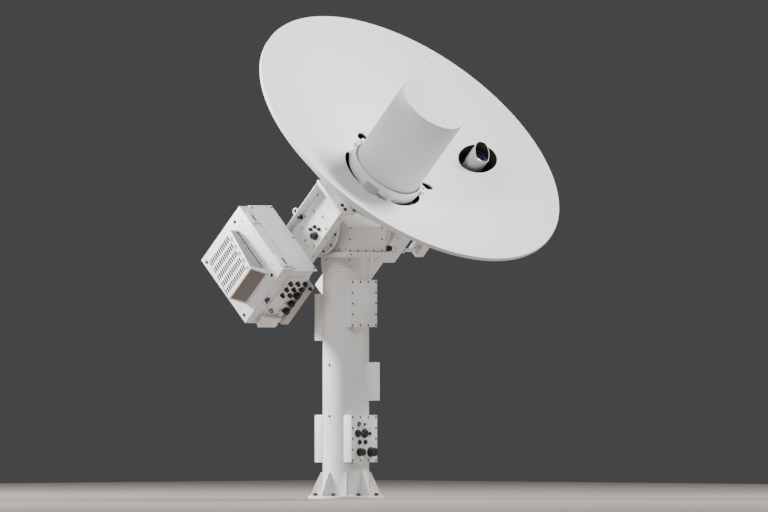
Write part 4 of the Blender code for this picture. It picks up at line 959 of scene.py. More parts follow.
def build_bearings():
    """A stepped, hollow bearing housing on each side of the head."""
    for name, side in (("left", -1), ("right", 1)):
        node = f"bearing_housing_{name}"
        low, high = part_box(node)
        near = side * min(abs(low.x), abs(high.x))
        far = side * max(abs(low.x), abs(high.x))
        step = side * 0.218
        small, large = 0.105, 0.117
        seat, lip, floor = 0.0753, 0.049, side * 0.200
        e = side * 0.002
        bm = bmesh.new()
        turned(bm, [(lip, near), (small, near), (small, step), (large - 0.002, step),
                    (large, step + e), (large, far - e), (large - 0.002, far),
                    (seat, far), (seat, floor), (lip, floor)], "X", (0, 0, PIVOT.z), 96)
        piece(f"bearing_housing_{name}_body", bm, "turntable", "steel_paint", replaces=[node])

        def bolt(one, far=far, side=side):
            screw(one, (far, 0, 0.097), (side, 0, 0), 0.005, 0.0004, 12)

        piece(f"bearing_bolts_{name}",
              wheel(bolt, "X", range(15, 360, 30), (0, 0, PIVOT.z)), "turntable", "screw_steel_darkened_as_shade")


# ---------------------------------------------------------------- arms
ARM_WEB = 0.3083            # from the middle plane to an arm's web
ARM_EDGE = 0.382            # and to its flanges' edges
ARM_FLANGE = 0.006
HUB_BOLT_R = 0.119


def build_arm(name, side):
    """One arm: a channel that opens away from the middle plane."""
    low, high = own_box(name, TIP)
    f_low, f_high, u = -high.y, -low.y, high.z
    bm = bmesh.new()
    fu_block(bm, (side * ARM_WEB, side * ARM_EDGE), (f_low, f_high), (-u, u), 0.0012)
    arm = tip_piece(f"{name}_channel", bm, "steel_paint", [name])
    pocket = bmesh.new()
    t = ARM_FLANGE
    fu_block(pocket, (side * (ARM_WEB + t), side * (ARM_EDGE + 0.01)),
             (f_low + t, f_high - 0.012), (-u + t, u - t), 0.003)
    carve(arm, pocket, TIP)
    return f_low, f_high, u


def build_arms():
    """Both arms with their bolts, screws, rings and stiffeners."""
    floor = ARM_WEB + ARM_FLANGE
    for name, side in (("left_arm", -1), ("right_arm", 1)):
        f_low, f_high, u = build_arm(name, side)
        x = side * floor
        out = (side, 0, 0)
        heads = bmesh.new()

        def hub_bolt(one, x=x, out=out):
            screw(one, (x, 0, HUB_BOLT_R), out, 0.0080, 0.0080, 6, washer=0.0115)

        ring = wheel(hub_bolt, "X", range(0, 360, 45))
        for f in (f_high - 0.030, f_high - 0.110, -0.200, -0.420, -0.640):
            for side_u in (-1, 1):
                screw(heads, (x, -f, side_u * (u - 0.022)), out, 0.0050, 0.004, 12,
                      washer=0.007)
        for f in edge_places(f_low, f_high, 6, 0.05):
            for side_u in (-1, 1):
                screw(heads, (side * (ARM_EDGE - 0.025), -f, side_u * u), (0, 0, side_u),
                      *SMALL_HEAD)
        tip_piece(f"{name}_hub_bolts", ring, "plated_steel")
        tip_piece(f"{name}_screws", heads, "screw_steel_darkened_as_shade")
        boss = bmesh.new()
        turned(boss, [(0.100, x + side * SKIN), (0.138, x + side * SKIN),
                      (0.138, x + side * 0.002), (0.100, x + side * 0.002)], "X", steps=96)
        tip_piece(f"{name}_hub_ring", boss, "steel_paint")
        if side > 0:
            stiff = bmesh.new()
            for f in (-0.300, -0.560):
                fu_block(stiff, (x + SKIN, ARM_EDGE - 0.012), (f, f + 0.005),
                         (-u + 0.0064, u - 0.0064), 0.001)
            tip_piece("right_arm_stiffeners", stiff, "steel_paint")
    build_left_arm_fittings(-floor)


def build_left_arm_fittings(x):
    """The rotary joint's plugs, the lifting eye and the lock knob on the left arm."""
    out = Vector((-1, 0, 0))
    shells, dark = bmesh.new(), bmesh.new()
    for f, u, radius, length in (
        (-0.029, -0.042, 0.0250, 0.030), (-0.026, 0.0185, 0.0115, 0.016),
        (0.015, 0.004, 0.0115, 0.016), (0.032, -0.039, 0.0115, 0.016),
    ):
        round_connector(shells, dark, (x, -f, u), out, radius, length)
    tip_piece("arm_connectors", shells, "black_moulding")
    tip_piece("arm_connector_mouths", dark, "black_seal_and_painted_shade")

    lock = own_box("elevation_lock_knob", TIP)
    foot, y, z = lock[1].x, middle(lock, 1), middle(lock, 2)
    stem, radius = 0.006, 0.014
    near = x - 0.002
    profile = [(0, foot), (stem, foot), (stem, near), (radius - 0.001, near),
               (radius, near - 0.001), (radius, near - 0.009), (radius - 0.001, near - 0.010),
               (stem, near - 0.012)]
    centre = near - 0.014 - radius
    profile += [(r, centre - height) for r, height in ball_curve(radius, stem)]
    knob = bmesh.new()
    turned(knob, profile, "X", (0, y, z), 40)
    piece("elevation_lock_ball", knob, "elevation_lock", "black_moulding", TIP,
          ["elevation_lock_knob"])

    eye = bmesh.new()
    top = own_box("left_arm", TIP)[1].z
    x, y = -0.350, 0.020
    ring_loop(eye, (x, y, top + 0.030), "X", 0.021, 0.0055, 48, 14)
    rod(eye, (x, y, top + SKIN), (x, y, top + 0.010), 0.012, 24, 0.001)
    rod(eye, (x, y, top - 0.0064), (x, y, top - 0.014), 0.009, 6, 0.0008)
    tip_piece("lifting_eye", eye, "steel_paint")


def build_hubs():
    """The elevation shaft and the hub that slides onto its right end."""
    far, flange = ARM_WEB - 0.0003, (0.2436, 0.262)
    hub, wide, shaft = 0.140, 0.182, 0.045
    e = 0.002
    bm = bmesh.new()
    turned(bm, [(0, -far), (hub, -far), (hub, -flange[1] - e), (wide - e, -flange[1]),
                (wide, -flange[1] + e), (wide, -flange[0] - e), (wide - e, -flange[0]),
                (shaft, -flange[0]), (shaft, far), (0, far)], "X", steps=96)
    tip_piece("elevation_shaft_body", bm, "steel_paint", ["elevation_shaft"])
    bm = bmesh.new()
    bore = shaft + 0.0003
    turned(bm, [(bore, far), (hub, far), (hub, flange[1] + e), (wide - e, flange[1]),
                (wide, flange[1] - e), (wide, flange[0] + e), (wide - e, flange[0]),
                (bore, flange[0])], "X", steps=96)
    tip_piece("right_hub_body", bm, "steel_paint", ["right_hub"])
    for side in (-1, 1):

        def bolt(one, side=side):
            screw(one, (side * flange[1], 0, 0.165), (side, 0, 0), 0.0065, 0.0065, 6,
                  washer=0.0095)

        tip_piece(f"hub_flange_bolts_{'left' if side < 0 else 'right'}",
              wheel(bolt, "X", range(0, 360, 30)), "screw_steel_darkened_as_shade")


# ---------------------------------------------------------------- dish support
FOCAL = 0.900               # of the dish's parabola
VERTEX_F = 0.505            # its vertex, along the boresight
DISH_T = 0.010
DRUM_R = 0.260              # the backing drum
PAN_R, PAN_F = 0.410, 0.470     # the pan behind the slots: its edge and its floor
CUP_R, PORT_R = 0.128, 0.1290   # the camera's cup and its port in the dish


def build_mount_plate():
    """The plate that carries the dish, with its bolts."""
    low, high = own_box("dish_mount_plate", TIP)
    slab("dish_mount_sheet", (low, high), 0.002, "tipping_frame", "steel_paint", TIP,
         ["dish_mount_plate"])
    heads, dark = bmesh.new(), bmesh.new()
    for x in (-0.327, 0.327):
        for u in (0.145, 0.105, -0.092, -0.132):
            socket_screw(heads, dark, (x, low.y, u), (0, -1, 0), 0.0115, 0.012)
    for angle in range(0, 360, 30):
        x, u = polar(0.285, angle)
        if abs(u) < high.z - 0.02:
            screw(heads, (x, low.y, u), (0, -1, 0), 0.007, 0.007, 6, washer=0.010)
            screw(heads, (x, high.y, u), (0, 1, 0), 0.007, 0.007, 6, washer=0.010)
    tip_piece("dish_mount_bolts", heads, "screw_steel_darkened_as_shade")
    # dark hexagons as painted shade in the screws' sockets
    tip_piece("dish_mount_socket_shades", dark, "black_seal_and_painted_shade")


def dish_front(radius):
    return VERTEX_F + radius**2 / (4 * FOCAL)


def dish_back(radius):
    return dish_front(radius) - DISH_T


def build_backing():
    """The drum, ribs and hoops behind the dish."""
    foot = -own_box("dish_mount_plate", TIP)[0].y + 0.0003
    inner = DRUM_R - 0.020
    e = 0.002
    bm = bmesh.new()
    turned(bm, [
        (inner, -foot), (DRUM_R + 0.018, -foot), (DRUM_R + 0.020, -foot - e),
        (DRUM_R + 0.020, -foot - 0.010), (DRUM_R, -foot - 0.012),
        (DRUM_R, -dish_back(DRUM_R) + 0.0010), (inner, -dish_back(inner) + 0.0010),
    ], "Y", steps=96)
    tip_piece("backing_drum", bm, "steel_paint", ["backing_frame"])
    root, tip_r = DRUM_R - 0.002, 0.950
    clear = PAN_R + 0.0005
    stations = [clear + (tip_r - clear) * k / 16 for k in range(17)]
    tip_f, root_f = dish_back(tip_r) - 0.020, VERTEX_F - 0.145

    def rib(one):
        outline = [(root, -PAN_F + 0.0005), (clear, -PAN_F + 0.0005)]
        outline += [(r, -(dish_back(r) - 0.0010)) for r in stations]
        outline += [(tip_r, -tip_f), (root, -root_f)]
        prism(one, outline, "Z", (-0.004, 0.004), 0.0008)
        foot_outline = [(root, -root_f), (tip_r, -tip_f), (tip_r, -tip_f + 0.006),
                        (root, -root_f + 0.006)]
        prism(one, foot_outline, "Z", (-0.019, 0.019), 0.001)
        for r in (0.40, 0.55, 0.70, 0.85):
            f = root_f + (tip_f - root_f) * (r - root) / (tip_r - root)
            for side in (-1, 1):
                screw(one, (r, -f + 0.006, side * 0.012), (0, 1, 0), 0.004, 0.003, 8)

    tip_piece("backing_ribs", wheel(rib, "Y", [22.5 + 45 * k for k in range(8)]),
          "steel_paint")
    hoop = bmesh.new()
    for radius, deep in ((0.62, 0.030), (0.93, 0.026)):
        turned(hoop, [(radius, -dish_back(radius) + 0.001),
                      (radius + 0.022, -dish_back(radius + 0.022) + 0.001),
                      (radius + 0.022, -dish_back(radius) + deep * 0.4),
                      (radius + 0.004, -dish_back(radius) + deep * 0.4),
                      (radius + 0.004, -dish_back(radius) + deep),
                      (radius, -dish_back(radius) + deep)], "Y", steps=144)
    hoops = tip_piece("backing_hoops", hoop, "steel_paint")
    gap = bmesh.new()
    cup_x = middle(own_box("camera_cup", TIP), 0)
    rod(gap, (cup_x, -0.30, 0), (cup_x, -0.95, 0), CUP_R + 0.0004, 96)
    carve(hoops, gap, TIP)


# ---------------------------------------------------------------- dish and feed
def arc_slot(inner, outer, first, last, steps=24):
    """An outline with rounded ends between two radii and two angles (degrees)."""
    far_side, near_side = [], []
    for k in range(steps + 1):
        angle = first + (last - first) * k / steps
        place = min(k, steps - k) / steps
        taper = min(1.0, math.sqrt(max(0.0, place * 5)) * 0.85 + 0.15)
        half = (outer - inner) / 2 * taper
        far_side.append(polar((inner + outer) / 2 + half, angle))
        near_side.append(polar((inner + outer) / 2 - half, angle))
    return far_side + near_side[::-1]


def ribbon_slot(centres, widths):
    """An outline that follows (radius, angle) stations with a width at each."""
    line = [Vector(polar(*centre)) for centre in centres]
    left, right = [], []
    for k, point in enumerate(line):
        ahead = line[min(k + 1, len(line) - 1)] - line[max(k - 1, 0)]
        across = Vector((-ahead.y, ahead.x)).normalized() * widths[k] / 2
        left.append(point + across)
        right.append(point - across)
    return [tuple(p) for p in left + right[::-1]]


def xu_prism(bm, outline, fs, edge=0.0):
    """An (x, u) outline pushed along the boresight."""
    prism(bm, outline, "Y", (-max(fs), -min(fs)), edge)


SLOTS = (
    # dark openings between the dish and the clamp ring: (inner, outer, first, last)
    (0.2705, 0.312, 127, 199),
    (0.2705, 0.304, 224, 241),
    (0.2705, 0.306, 247, 317),
)


def build_dish():
    """The dish, its openings, and the pan behind the slots, lined in black as painted shade."""
    rim = own_box("reflector", TIP)[1].x
    bore = 0.080
    count = 56
    radii = [bore + (rim - 0.0015 - bore) * k / count for k in range(count + 1)]
    lip = rim - DISH_T
    lip_f = dish_front(rim) - 0.028
    profile = [(r, -dish_front(r)) for r in radii]
    profile += [(rim - 0.0003, -dish_front(rim) + 0.0004), (rim, -dish_front(rim) + 0.0015),
                (rim, -lip_f - 0.0015), (rim - 0.0015, -lip_f), (lip, -lip_f),
                (lip, -dish_back(lip))]
    profile += [(r, -dish_back(r)) for r in reversed(radii[:-5])]
    bm = bmesh.new()
    turned(bm, profile, "Y", steps=224)
    dish = tip_piece("dish_shell", bm, "dish_coat", ["reflector"], 30)
    through = (VERTEX_F - 0.05, VERTEX_F + 0.12)
    tools = bmesh.new()
    camera_x = middle(own_box("camera_cup", TIP), 0)
    rod(tools, (camera_x, -0.50, 0), (camera_x, -0.90, 0), PORT_R, 96)
    for inner, outer, first, last in SLOTS:
        xu_prism(tools, arc_slot(inner, outer, first, last), through)
    for outline in hook_slots():
        xu_prism(tools, outline, through)
    for angle in (45, 135, 225, 315):
        x, u = polar(1.12, angle)
        rod(tools, (x, -0.70, u), (x, -1.0, u), 0.0055, 16)
    carve(dish, tools, TIP)

    # the pan's black lining is painted shade, seen through the slots
    pan, liner = bmesh.new(), bmesh.new()
    hub_r, wall = 0.2605, 0.003
    tray(pan, hub_r, PAN_R, PAN_F, wall)
    tray(liner, hub_r + wall + SKIN, PAN_R - wall - SKIN, PAN_F + wall + SKIN, 0.001)
    tip_piece("slot_pan", pan, "steel_paint")
    tip_piece("slot_pan_shade_lining", liner, "black_seal_and_painted_shade")


def tray(bm, inner, outer, floor, wall):
    """A ring-shaped tray whose walls reach up to the dish's back."""
    def edge(radius):
        return (radius, -(dish_back(radius) - 0.0006))

    turned(bm, [(inner, -floor), (outer, -floor), edge(outer), edge(outer - wall),
                (outer - wall, -floor - wall), (inner + wall, -floor - wall),
                edge(inner + wall), edge(inner)], "Y", steps=96)


def hook_slots():
    """The two hooked grooves beside the clamp ring."""
    left = ribbon_slot(
        [(0.352, 90), (0.368, 87.5), (0.380, 84.5), (0.381, 82), (0.369, 80.2), (0.345, 79),
         (0.322, 78.4), (0.302, 78)],
        [0.026, 0.044, 0.048, 0.046, 0.042, 0.036, 0.030, 0.022],
    )
    right = ribbon_slot(
        [(0.378, -24.8), (0.374, -22.6), (0.360, -20.2), (0.341, -17.8), (0.320, -15.8),
         (0.304, -14.4)],
        [0.034, 0.058, 0.062, 0.056, 0.046, 0.030],
    )
    return left, right


def build_clamp_ring():
    """The band round the radome, its lugs, bolts and level pad."""
    low, high = own_box("feed_clamp_ring", TIP)
    foot, top = -high.y, -low.y
    inner, wall, neck = 0.262, 0.270, 0.268
    bolt_reach, bolt_lift = 0.328, 0.024
    e = 0.0015
    bm = bmesh.new()
    turned(bm, [(inner, -foot), (wall, -foot), (wall, -(top - e)), (wall - e, -top),
                (inner + e, -top), (inner, -(top - e))], "Y", steps=144)
    tip_piece("clamp_band", bm, "steel_paint", ["feed_clamp_ring"])

    def lug(shape, angle, half, reach, lift):
        outline = []
        for k in range(17):
            bulge = math.sin(math.pi * k / 16) ** 0.45
            r = neck + (reach - neck) * bulge
            outline.append(polar(r, angle + half * (k / 8 - 1)))
        for k in range(9):
            outline.append(polar(inner + 0.0004, angle + half * (1 - k / 4)))
        span = (dish_front(inner) + 0.0006, dish_front(reach) + lift)
        xu_prism(shape, outline, span, 0.004)

    lugs, oval = bmesh.new(), bmesh.new()
    for place in ((96, 9, bolt_reach, bolt_lift), (-33, 9, bolt_reach, bolt_lift),
                  (-116, 3.0, 0.290, 0.014), (113, 8, 0.288, 0.010)):
        lug(lugs, *place)
    lug(oval, -149, 11.5, 0.334, 0.030)
    tip_piece("clamp_lugs", lugs, "steel_paint")
    tip_piece("clamp_oval_cover", oval, "grey_cover")

    bolts = bmesh.new()
    for angle in (96, -33):
        x, u = polar(0.300, angle)
        f = dish_front(bolt_reach) + bolt_lift
        screw(bolts, (x, -f, u), (0, -1, 0), 0.006, 0.005, 6, washer=0.009)
    tip_piece("clamp_bolts", bolts, "screw_steel_darkened_as_shade")

    bump = bmesh.new()
    x, u = polar(0.440, 4)
    f = dish_front(0.440)
    block(bump, (x - 0.022, -(f + 0.012), u - 0.012), (x + 0.022, -(f + 0.0005), u + 0.012),
          0.004)
    tip_piece("level_pad", bump, "dish_coat")


def build_radome():
    """The feed radome: a drum with two seams and a flush lid."""
    low, high = own_box("feed_radome", TIP)
    radius = high.x
    foot, top = -high.y, -low.y
    t = 0.004
    seam_a, seam_b = 0.632, 0.700
    lid = top - 0.012
    n = 0.0010
    profile = [
        (radius - t, -foot), (radius, -foot),
        (radius, -(seam_a - n)), (radius - n, -(seam_a - n)), (radius - n, -(seam_a + n)),
        (radius, -(seam_a + n)),
        (radius, -(seam_b - n)), (radius - n * 0.6, -seam_b), (radius, -(seam_b + n)),
        (radius, -(lid - n)), (radius - n, -(lid - n)), (radius - n, -lid), (radius, -lid),
        (radius, -(top - 0.007)), (radius - 0.0015, -(top - 0.0025)),
        (radius - 0.005, -(top - 0.0004)), (radius - 0.009, -top), (0, -top),
        (0, -(top - t)), (radius - t, -(top - t)),
    ]
    bm = bmesh.new()
    turned(bm, profile, "Y", steps=160)
    tip_piece("radome_drum", bm, "radome_shell", ["feed_radome"], 30)


def build_camera():
    """The boresight camera in its cup behind the dish."""
    low, high = own_box("camera_cup", TIP)
    x = (low.x + high.x) / 2
    floor, mouth = -high.y, -low.y
    out_r, t = CUP_R, 0.004
    bm = bmesh.new()
    turned(bm, [(0, -floor), (out_r - 0.004, -floor), (out_r, -floor - 0.004), (out_r, -mouth),
                (out_r - t, -mouth), (out_r - t, -floor - 0.012),
                (out_r - t - 0.004, -floor - 2 * t), (0, -floor - 2 * t)], "Y", (x, 0, 0), 96)
    for vertex in bm.verts:
        surface = dish_front(math.hypot(vertex.co.x, vertex.co.z)) - 0.002
        vertex.co.y = max(vertex.co.y, -surface)
    # the cup's shell in paint darkened as painted shade
    tip_piece("camera_cup_shell", bm, "paint_darkened_as_shade", ["camera_cup"])
    build_cup_shade_lining(x, floor + 2 * t, mouth)

    build_camera_body(x)


def build_camera_body(x):
    """The camera's barrel with its slanted visor, lens, fins and screws."""
    low, high = own_box("camera_body", TIP)
    foot, visor = -high.y, -low.y
    body_r, hood_r = 0.066, 0.070
    nose, seat, hood_f = 0.728, 0.705, 0.640
    bm = bmesh.new()
    turned(bm, [
        (0, -foot), (body_r * 0.6, -foot), (body_r, -foot - 0.020), (body_r, -hood_f + 0.004),
        (body_r - 0.002, -hood_f + 0.003), (body_r - 0.002, -hood_f),
        (hood_r, -hood_f - 0.001), (hood_r, -visor), (body_r, -visor),
        (body_r, -seat - 0.006), (body_r - 0.004, -seat - 0.004), (body_r - 0.004, -seat),
        (0, -seat),
    ], "Y", (x, 0, 0), 96)
    body = tip_piece("camera_barrel", bm, "camera_silver", ["camera_body"])
    bm = bmesh.new()
    turned(bm, [(body_r - 0.0014, -seat - 0.009), (body_r - 0.0004, -seat - 0.009),
                (body_r - 0.0004, -visor + 0.0004), (body_r - 0.0014, -visor + 0.0004)], "Y",
           (x, 0, 0), 96)
    liner = tip_piece("camera_visor_liner", bm, "black_moulding")
    for shape in (body, liner):
        slope = bmesh.new()
        prism(slope, [(-nose, -0.10), (-nose, -0.040), (-visor, 0.055),
                      (-visor - 0.1, 0.100), (-visor - 0.1, -0.10)], "X",
              (x - 0.10, x + 0.10))
        carve(shape, slope, TIP)

    build_lens(x, seat)
    trim = bmesh.new()
    for angle in (35, 90, 145, 215, 325):
        fin_x, u = polar(0.0665, angle)
        rod(trim, (x + fin_x, -foot - 0.030, u), (x + fin_x, -hood_f + 0.010, u), 0.0035, 8)
    screws_f = foot + 0.004
    for angle in range(0, 360, 60):
        screw_x, u = polar(0.095, angle)
        screw(trim, (x + screw_x, -screws_f, u), (0, -1, 0), 0.005, 0.004, 12, washer=0.008)
    tip_piece("camera_fins", trim, "camera_silver")


def build_lens(x, seat):
    """Two rings on the barrel's seat, and the domed front glass."""
    rings = bmesh.new()
    for radius, station, deep in ((0.0615, seat + 0.001, 0.006), (0.050, seat + 0.007, 0.003)):
        turned(rings, [(radius - 0.004, -station), (radius, -station),
                       (radius, -station - deep), (radius - 0.004, -station - deep)], "Y",
               (x, 0, 0), 72)
    tip_piece("camera_lens_rings", rings, "black_moulding")
    lens = bmesh.new()
    rim_r = 0.0565
    start = seat + 0.0012
    profile = [(0, -start), (rim_r, -start)]
    for step in range(13):
        angle = math.pi / 2 * step / 12
        profile.append((rim_r * math.cos(angle) if step < 12 else 0,
                        -(start + 0.001 + 0.012 * math.sin(angle))))
    turned(lens, profile, "Y", (x, 0, 0), 72)
    tip_piece("camera_front_lens", lens, "lens_glass", ["camera_lens"])


def build_cup_shade_lining(x, floor, mouth):
    """The cup's inside wall in black as painted shade, reaching up to the dish all round its
    port.
    """
    inner, outer, t = 0.072, 0.1234, 0.001
    low, step, top = floor + 0.0004, mouth + 0.0015, 0.90
    wide = PORT_R - 0.0006
    bm = bmesh.new()
    turned(bm, [(inner, -low), (outer, -low), (outer, -step), (wide, -step), (wide, -top),
                (wide - t, -top), (wide - t, -step - t), (outer - t, -step - t),
                (outer - t, -low - t), (inner, -low - t)], "Y", (x, 0, 0), 96)
    for vertex in bm.verts:
        surface = dish_front(math.hypot(vertex.co.x, vertex.co.z)) - 0.0012
        vertex.co.y = max(vertex.co.y, -surface)
    bmesh.ops.remove_doubles(bm, verts=bm.verts, dist=0.00002)
    # black lining as painted shade inside the cup
    tip_piece("camera_cup_shade_lining", bm, "black_seal_and_painted_shade")


# ---------------------------------------------------------------- right side
def build_right_side():
    """The servo box, then the outrigger beside it."""
    low, high = own_box("servo_box", TIP)
    slab("servo_case", (low, high), 0.003, "tipping_frame", "panel_paint", TIP, ["servo_box"])
    inset, lid_x = 0.006, high.x + 0.0033
    slab("servo_lid", ((high.x + 0.0003, low.y + inset, low.z + inset),
                       (lid_x, high.y - inset, high.z - inset)),
         0.001, "tipping_frame", "panel_paint", TIP)
    heads = bmesh.new()
    for y, z in rim_pattern((low.y, high.y), (low.z, high.z), 5, 4, 0.018):
        screw(heads, (lid_x, y, z), (1, 0, 0), *COVER_HEAD, washer=COVER_WASHER)
    tip_piece("servo_screws", heads, "screw_steel_darkened_as_shade")
    shells, dark = bmesh.new(), bmesh.new()
    for u in (-0.090, -0.010, 0.070):
        round_connector(shells, dark, (low.x + 0.055, high.y, u), (0, 1, 0), 0.016, 0.026)
    tip_piece("servo_connectors", shells, "black_moulding")
    tip_piece("servo_connector_mouths", dark, "black_seal_and_painted_shade")
    build_outrigger(high.x)


def build_outrigger(servo_x):
    """The trough beam beyond the servo box and the rod that ties them."""
    beam = own_box("outrigger", TIP)
    left = 0.664
    t = 0.005
    head_y, tail_y = beam[0].y, beam[1].y
    u_low, u_high = -0.159, -0.064
    trough = slab("outrigger_trough", ((left, head_y, u_low), (beam[1].x, tail_y, u_high)),
                  0.0012, "tipping_frame", "steel_paint", TIP, ["outrigger"])
    carve_block(trough, (left + t, head_y + 2 * t, u_low + t),
                (beam[1].x - t, tail_y - t, 0), TIP, 0.002)
    rod_y, rod_u = 0.070, -0.142
    bm = bmesh.new()
    rod(bm, (servo_x + 0.0036, rod_y, rod_u), (left - SKIN, rod_y, rod_u), 0.0125, 28)
    tip_piece("tie_rod", bm, "steel_paint")
    nuts = bmesh.new()
    for a, b in ((servo_x + 0.0040, servo_x + 0.0160), (left - 0.0125, left - 0.0005)):
        rod(nuts, (a, rod_y, rod_u), (b, rod_y, rod_u), 0.021, 6, 0.0012)
    for b in (servo_x + 0.0160, left - 0.0165):
        rod(nuts, (b, rod_y, rod_u), (b + 0.004, rod_y, rod_u), 0.024, 28, 0.0006)
    for f in edge_places(-tail_y, -head_y, 6, 0.04):
        screw(nuts, ((left + beam[1].x) / 2, -f, u_low), (0, 0, -1), *SMALL_HEAD)
    tip_piece("tie_rod_nuts", nuts, "plated_steel")


# ---------------------------------------------------------------- electronics case
CASE_WALL = 0.003


def build_case():
    """The electronics case's tray, its side plate, the lid's hinges and its bracket."""
    low, high = own_box("electronics_case", TIP)
    t = CASE_WALL
    tray = slab("case_tray", (low, high), 0.002, "tipping_frame", "panel_paint", TIP,
                ["electronics_case"])
    carve_block(tray, (low.x - 0.01, low.y + t, low.z + t),
                (high.x - t, high.y - t, high.z - t), TIP)

    p_low, p_high = own_box("case_face_plate", TIP)
    slab("case_side_plate", (p_low, p_high), 0.0012, "tipping_frame", "panel_paint", TIP,
         ["case_face_plate"])
    heads = bmesh.new()
    for x in (p_low.x + 0.016, p_high.x - 0.016):
        for u in (p_low.z + 0.024, (p_low.z + p_high.z) / 2, p_high.z - 0.024):
            if x > -0.5 or u != (p_low.z + p_high.z) / 2:
                screw(heads, (x, p_low.y, u), (0, -1, 0), 0.0055, 0.003, 12, washer=0.008)
    tip_piece("case_plate_screws", heads, "screw_steel_darkened_as_shade")

    hinges, slots = bmesh.new(), bmesh.new()
    pin_x = joints["lid_hinge"]["pos_m"][0]
    for a, b in ((0.183, 0.289), (-0.243, -0.133)):
        block(hinges, (-0.694, 0.1250, a), (pin_x - 0.006, 0.1285, b), 0.0008)
        # a black strip at each leaf, painted as the shade of a slot
        block(slots, (-0.664, 0.1242, a + 0.012), (-0.650, 0.1249, b - 0.030), 0.0003)
    piece("lid_hinge_leaves", hinges, "lid", "panel_paint", TIP)
    piece("lid_hinge_slot_shades", slots, "lid", "black_seal_and_painted_shade", TIP)

    low, high = own_box("case_bracket", TIP)
    t = 0.006
    # the bracket in paint darkened as painted shade under the case
    channel = slab("case_bracket_channel", (low, high), 0.002, "tipping_frame",
                   "paint_darkened_as_shade", TIP, ["case_bracket"])
    carve_block(channel, (low.x + t, low.y + t, low.z + t),
                (high.x + 0.01, high.y - t, high.z - t), TIP)
    build_case_inside()


def build_case_inside():
    """The control board with its parts, and the power amplifier's heat sink."""
    board, parts = bmesh.new(), bmesh.new()
    fu_block(board, (-0.3990, -0.3974), (-0.640, -0.180), (-0.225, 0.070), 0.0003)
    for f, u, w, h, rise in (
        (-0.56, 0.02, 0.06, 0.05, 0.018), (-0.46, 0.03, 0.05, 0.04, 0.012),
        (-0.34, 0.02, 0.09, 0.05, 0.022), (-0.56, -0.08, 0.05, 0.05, 0.010),
        (-0.44, -0.09, 0.08, 0.08, 0.015), (-0.30, -0.10, 0.06, 0.09, 0.030),
        (-0.58, -0.17, 0.08, 0.03, 0.014), (-0.42, -0.18, 0.12, 0.03, 0.014),
        (-0.25, -0.19, 0.06, 0.03, 0.014),
    ):
        fu_block(parts, (-0.3995 - rise, -0.3995), (f - w / 2, f + w / 2),
                 (u - h / 2, u + h / 2), 0.001)
    tip_piece("control_board", board, "board_green")
    tip_piece("control_board_parts", parts, "black_moulding")
    low, high = own_box("power_amplifier", TIP)
    bm = bmesh.new()
    block(bm, low, high, 0.002)
    grooves = bmesh.new()
    for k in range(14):
        y = low.y + 0.018 + k * (high.y - low.y - 0.036) / 13
        block(grooves, (low.x - 0.01, y - 0.006, low.z - 0.01),
              (low.x + 0.040, y + 0.006, high.z + 0.01))
    unit = tip_piece("amplifier_heat_sink", bm, "turned_alloy",
                 ["power_amplifier"])
    carve(unit, grooves, TIP)


def build_gland_field():
    """The sheet of connectors under the case, and the filter box."""
    top = own_box("gland_plate", TIP)[1].z
    bottom = top - 0.006
    bm = bmesh.new()
    fu_block(bm, (-0.590, -0.3823), (-0.600, -0.220), (bottom, top), 0.0012)
    tip_piece("gland_sheet", bm, "panel_paint", ["gland_plate"])
    shells, dark, caps = bmesh.new(), bmesh.new(), bmesh.new()
    down = (0, 0, -1)
    small, large = 0.0145, 0.0225
    for column in range(3):
        for row in range(3):
            if (column, row) == (2, 2):
                continue
            x, f = -0.541 + 0.0715 * column, -0.277 - 0.057 * row
            round_connector(shells, dark, (x, -f, bottom), down, small, 0.026)
    round_connector(shells, dark, (-0.350, 0.300, -0.2905), down, small * 0.8, 0.020)
    for f in (-0.391, -0.469, -0.542):
        round_connector(shells, dark, (-0.4055, -f, bottom), down, large, 0.034, 1.2)
        block(caps, (-0.462, -f - 0.012, bottom - 0.003), (-0.434, -f + 0.012, bottom - SKIN),
              0.001)
    round_connector(caps, dark, (-0.546, 0.542, bottom), down, small, 0.022)
    tip_piece("gland_connectors", shells, "black_moulding")
    tip_piece("gland_connector_mouths", dark, "black_seal_and_painted_shade")
    tip_piece("gland_caps", caps, "grey_moulding")

    box = bmesh.new()
    outline = [(-0.600, 0.592), (-0.425, 0.592), (-0.425, 0.640), (-0.455, 0.640),
               (-0.455, 0.672), (-0.600, 0.672)]
    prism(box, outline, "Z", (top - 0.040, top), 0.002)
    block(box, (-0.604, 0.590, top - 0.0435), (-0.430, 0.676, top - 0.0405), 0.0008)
    tip_piece("filter_box", box, "panel_paint")
    heads = bmesh.new()
    for x in (-0.592, -0.550, -0.508):
        screw(heads, (x, 0.672, top - 0.018), (0, 1, 0), *SMALL_HEAD)
    for x in (-0.595, -0.520, -0.440):
        screw(heads, (x, 0.634, top - 0.0435), down, *SMALL_HEAD)
    tip_piece("filter_box_screws", heads, "screw_steel_darkened_as_shade")


